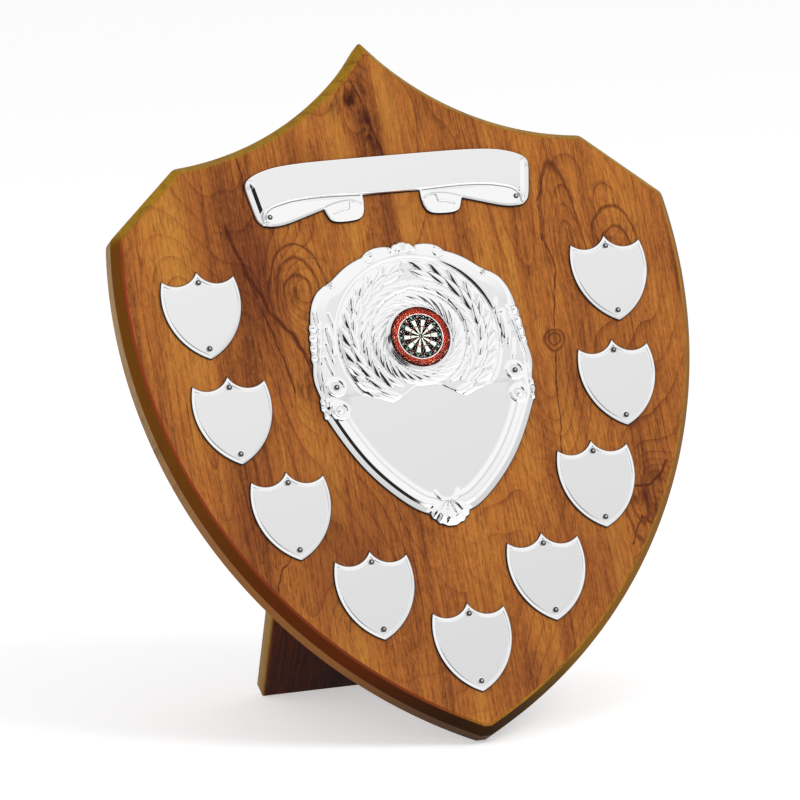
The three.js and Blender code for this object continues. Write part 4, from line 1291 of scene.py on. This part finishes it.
def upper_border(distance, z):
    """The wide rounded border of the upper part. Its step lies nearer the edge towards the top."""
    near = 2.2 - 1.3 * smooth((z - STEP_NARROWS) / 8)
    step = 0.7 * slope(distance, near, near + 1.5)
    return sheet_edge(distance) + step + 0.2 * slope(distance, near + 1.5, near + 5)


def side_ornament(rise, side, z):
    """The ridges, beads and knobs at the sides, and the two round bosses on each."""
    for points, half_width, height in SIDE_RIDGES:
        rise = rise + ridge(side, z, points, half_width, height)
    for place in BEADS:
        rise = knob(rise, side, z, place, BEAD_HEIGHT, KNOB_BASE)
    for place in EDGE_KNOBS:
        rise = knob(rise, side, z, place, EDGE_KNOB_HEIGHT, KNOB_BASE)
    for x, height, size in (PIN_BOSS, VOLUTE):
        away = np.hypot(side - x, z - height)
        rise = towards(rise, BOSS_RISE, slope(away, size + 0.4, size - 0.4)) + 0.3 * swell(away - size, 0.55)
    return knob(rise, side, z, (VOLUTE[0] + 0.3, VOLUTE[1], 1.3), 0.5, BOSS_RISE)


def centre_rise(x, z, distance):
    side = np.abs(x)
    radius = np.hypot(x, z - WREATH_HEIGHT)
    rise = towards(lower_rim(distance), upper_border(distance, z), smooth((z - BORDER_FROM) / 6))
    # The plain field below, and the round zone with its wreath above
    above = slope(z - np.interp(side, *np.array(FIELD_TOP).T), -0.5, 0.5)
    plain = (1 - above) * smooth((FIELD_HALF_WIDTH - side) / 3) * smooth((distance - FIELD_INSET) / 2)
    rise = towards(rise, FIELD_RISE, plain)
    wreath = towards(BESIDE_WREATH_RISE, wreath_rise(x, z), smooth((WREATH_OUTER - radius) / 1.6))
    wreath = wreath - 0.1 * swell(radius - WREATH_GROOVE, 0.3)
    rise = towards(rise, wreath, slope(radius, WREATH_SEAM + 1, WREATH_SEAM - 0.1) * above)
    rise = side_ornament(rise, side, z)
    # Crescent and fan at the bottom
    away = np.hypot(x, z - CRESCENT_HEIGHT)
    rise = rise + 0.45 * swell(away - CRESCENT_RADIUS, 0.6) * smooth((CRESCENT_END - z) / 2.5)
    turn = np.arctan2(x, FAN_HEIGHT - z)
    fan = slope(z, *FAN_HEIGHTS) * slope(np.abs(turn), *FAN_TURNS) * slope(distance, *FAN_INSETS)
    flutes = 1.7 + 0.05 * np.hypot(x, FAN_HEIGHT - z) + 0.36 * np.abs(np.cos(FAN_FLUTES * turn))
    rise = towards(rise, flutes, fan)
    # Little fan at the top, with scrolls on the border beside it
    fan = slope(z, *TOP_FAN_HEIGHTS) * slope(side, *TOP_FAN_SIDES) * slope(distance, *TOP_FAN_INSETS)
    flutes = 1.9 + 0.35 * np.abs(np.cos(TOP_FAN_FLUTES * np.arctan2(x, z - TOP_FAN_HEIGHT)))
    rise = towards(rise, flutes, fan)
    for centre_x, centre_z, size in TOP_SCROLLS:
        away = np.hypot(side - centre_x, z - centre_z)
        rise = rise + 0.3 * swell(away - size, 0.45) - 0.2 * swell(away, 0.7)
    return np.clip(rise, EDGE_RISE, sheet_edge(distance, 1.2) + 1.2 * np.maximum(distance - ROLL_WIDTH, 0))


def build_centre():
    outline = mirrored(runs(CENTRE_OUTLINE_RUNS, CENTRE_HALF_WIDTH, CENTRE_HEIGHT, RELAXING_PASSES))
    seams = [FIELD_TOP, circle(PIN_BOSS, PIN_BOSS[2]), circle(VOLUTE, VOLUTE[2])]
    seams.append(circle((0, WREATH_HEIGHT), WREATH_SEAM)[UPPER_ARC])
    seams = both_sides([*seams, *[circle(place, place[2]) for place in (*BEADS, *EDGE_KNOBS)]])
    insets = [*RIM_INSETS, *CREST_INSETS]
    sheet = relief(outline, centre_rise, insets, edge_spacing=0.35, grid_spacing=0.34, seams=seams)
    add_plate("embossed_centre", "centre_shield", sheet, 0, CENTRE_BOTTOM)
    side_pins("embossed_centre", "centre_shield", PIN_BOSS, BOSS_RISE, CENTRE_BOTTOM)


# Insert: profiles as radius and rise above the board's face
DISC_FACETS = 96
DISC_PROFILE = [(0, 2.2), (12.3, 2.2), (12.5, 2.4), (12.5, 4.3), (12.3, 4.5), (0, 4.5)]
# The dome's flat underside, and its round side and top
DOME_FOOT = (11.9, 4.52)
DOME_RADIUS = 12
DOME_SIDE_RISE = 5.2
DOME_TOP_RISE = 6.65


def build_insert():
    middle = CENTRE_BOTTOM + WREATH_HEIGHT
    vertices, faces = turned(DISC_PROFILE, DISC_FACETS)
    # The print lies in a shallow metal cup, whose side is the first two bands
    paint = [int(i < 2 * DISC_FACETS) for i in range(len(faces))]
    shape = on_face(vertices, 0, middle), faces
    add_piece("insert_print", "centre_disc", shape, [DISC, PIN_STEEL], paint, sharp_degrees=40)
    angles = np.radians(np.linspace(0, 90, 10))[:-1]
    rises = towards(DOME_SIDE_RISE, DOME_TOP_RISE, np.sin(angles))
    dome = [*zip(DOME_RADIUS * np.cos(angles) ** 0.55, rises)]
    profile = [(0, DOME_FOOT[1]), DOME_FOOT, *dome, (0, DOME_TOP_RISE)]
    vertices, faces = turned(profile, DISC_FACETS)
    shape = on_face(vertices, 0, middle), faces
    add_piece("resin_lens", "resin_dome", shape, [RESIN], sharp_degrees=60)


build_board()
build_strut()
build_small_shields()
build_scroll()
build_centre()
build_insert()

# The hardware keeps its CAD solids
for name, obj in frame["nodes"].items():
    is_steel = "screw" in name or name.startswith("hanger_pin")
    if is_steel or "hinge" in name or name == "sawtooth_hanger":
        obj.data.materials.clear()
        obj.data.materials.append(STEEL if is_steel else BRASS)


# Stage, in metres. Lamps have a name, a width, a power in watts and a place, and shine at the middle.

MIDDLE = (0, 0, 0.13)
LAMPS = [("key", 0.9, 16, (0.9, -1.3, 1.5)), ("fill", 1.2, 7, (-1.4, -1.2, 0.9))]
FLOOR_HALF_SIZE = 9
FLOOR_GLOW = 0.41
ROOM_LIGHT = 0.62
# Metal sees a white room, but for a few soft zones. Each has the azimuth from the front and the elevation of
# its middle, and the angles from there at which it starts and stops to fade, in degrees.
GREY_ZONE = (24, 33, 7, 15)
LEFT_ZONE = (-62, 12, 22, 40)
LEFT_LEVEL = 0.7
DARK_ZONES = [(-12, 14, 12, 20), (-17, 37, 5, 9)]
DARK_LEVEL = 0.02
# The grey zone's brightness by the sine of the elevation
GREY_LEVELS = [(0.0, 0.68), (0.52, 0.71), (0.68, 0.99), (1.0, 1.0)]


def add_object(name, data):
    made = bpy.data.objects.new(name, data)
    bpy.context.scene.collection.objects.link(made)
    return made


def add_floor():
    size = FLOOR_HALF_SIZE
    corners = [(-size, -size, 0), (size, -size, 0), (size, size, 0), (-size, size, 0)]
    mesh = bpy.data.meshes.new("floor")
    mesh.from_pydata(corners, [], [(0, 1, 2, 3)])
    shader = Shader("floor_paper", (0.86, 0.86, 0.86, 1.0))
    # It glows for the camera and in reflections, and not for the light that surfaces scatter
    glow = shader.of_rays("Camera", "Glossy", "Transmission") * FLOOR_GLOW
    paper = shader.finish(roughness=0.9, specular=0.1, emission_strength=glow, emission_color="ffffff")
    mesh.materials.append(paper)
    add_object("floor", mesh)


def add_lamp(name, size, power, place):
    data = bpy.data.lights.new(name, "AREA")
    data.shape, data.size, data.energy = "DISK", size, power
    lamp = add_object(name, data)
    lamp.location = place
    lamp.rotation_euler = (Vector(MIDDLE) - Vector(place)).to_track_quat("-Z", "Y").to_euler()
    lamp.visible_glossy = False


def towards_view(azimuth, elevation):
    """The unit vector from the object to a viewer at an azimuth from the front and an elevation."""
    flat = math.cos(elevation)
    return math.sin(azimuth) * flat, -math.cos(azimuth) * flat, math.sin(elevation)


def add_world():
    """A pale room, which metal sees as white with a grey zone, a dimmer left and two dark spots in front."""
    world = bpy.data.worlds.new("studio")
    world.use_nodes = True
    bpy.context.scene.world = world
    room = Nodes(world.node_tree)
    direction = room.node("TexCoord").outputs["Generated"]

    def within(zone):
        azimuth, elevation, inner, outer = map(math.radians, zone)
        middle = towards_view(azimuth, elevation)
        near = room.node("VectorMath", {0: direction, 1: middle}, operation="DOT_PRODUCT")
        return room.ramp01(room.field(near, "Value"), math.cos(outer), math.cos(inner))

    def blend(share, first, second):
        return room.node("Mix", {0: share, 2: first, 3: second}, data_type="FLOAT").outputs[0]

    stops = [(position, (level, level, level, 1.0)) for position, level in GREY_LEVELS]
    grey = room.colour_ramp(room.parts(direction)[2], stops)
    mirrored_room = blend(within(LEFT_ZONE), blend(within(GREY_ZONE), 1.0, grey), LEFT_LEVEL)
    for zone in DARK_ZONES:
        mirrored_room = blend(within(zone), mirrored_room, DARK_LEVEL)
    lit = blend(room.of_rays("Glossy"), ROOM_LIGHT, mirrored_room)
    background = world.node_tree.nodes["Background"]
    room.put(blend(room.of_rays("Camera", "Transmission"), lit, 1.0), background.inputs["Strength"])
    room.put("ffffff", background.inputs["Color"])


# The photograph's camera
CAMERA_AZIMUTH = math.radians(-18.5154)
CAMERA_ELEVATION = math.radians(8.8549)
CAMERA_ROLL = math.radians(-2.7625)
CAMERA_DISTANCE = 2.0641
CAMERA_TARGET = Vector((-0.010632, -0.013785, 0.130670))
CAMERA_LENS = 233.45


def add_camera():
    data = bpy.data.cameras.new("camera")
    data.sensor_width, data.lens = 36, CAMERA_LENS
    data.clip_start, data.clip_end = 0.05, 60
    camera = add_object("camera", data)
    back = Vector(towards_view(CAMERA_AZIMUTH, CAMERA_ELEVATION))
    camera.location = CAMERA_TARGET + back * CAMERA_DISTANCE
    level = (-back).to_track_quat("-Z", "Y")
    camera.rotation_euler = (level.to_matrix() @ Matrix.Rotation(CAMERA_ROLL, 3, "Z")).to_euler()
    bpy.context.scene.camera = camera


add_floor()
for each in LAMPS:
    add_lamp(*each)
add_world()
add_camera()
bpy.context.scene.view_settings.view_transform = "Standard"
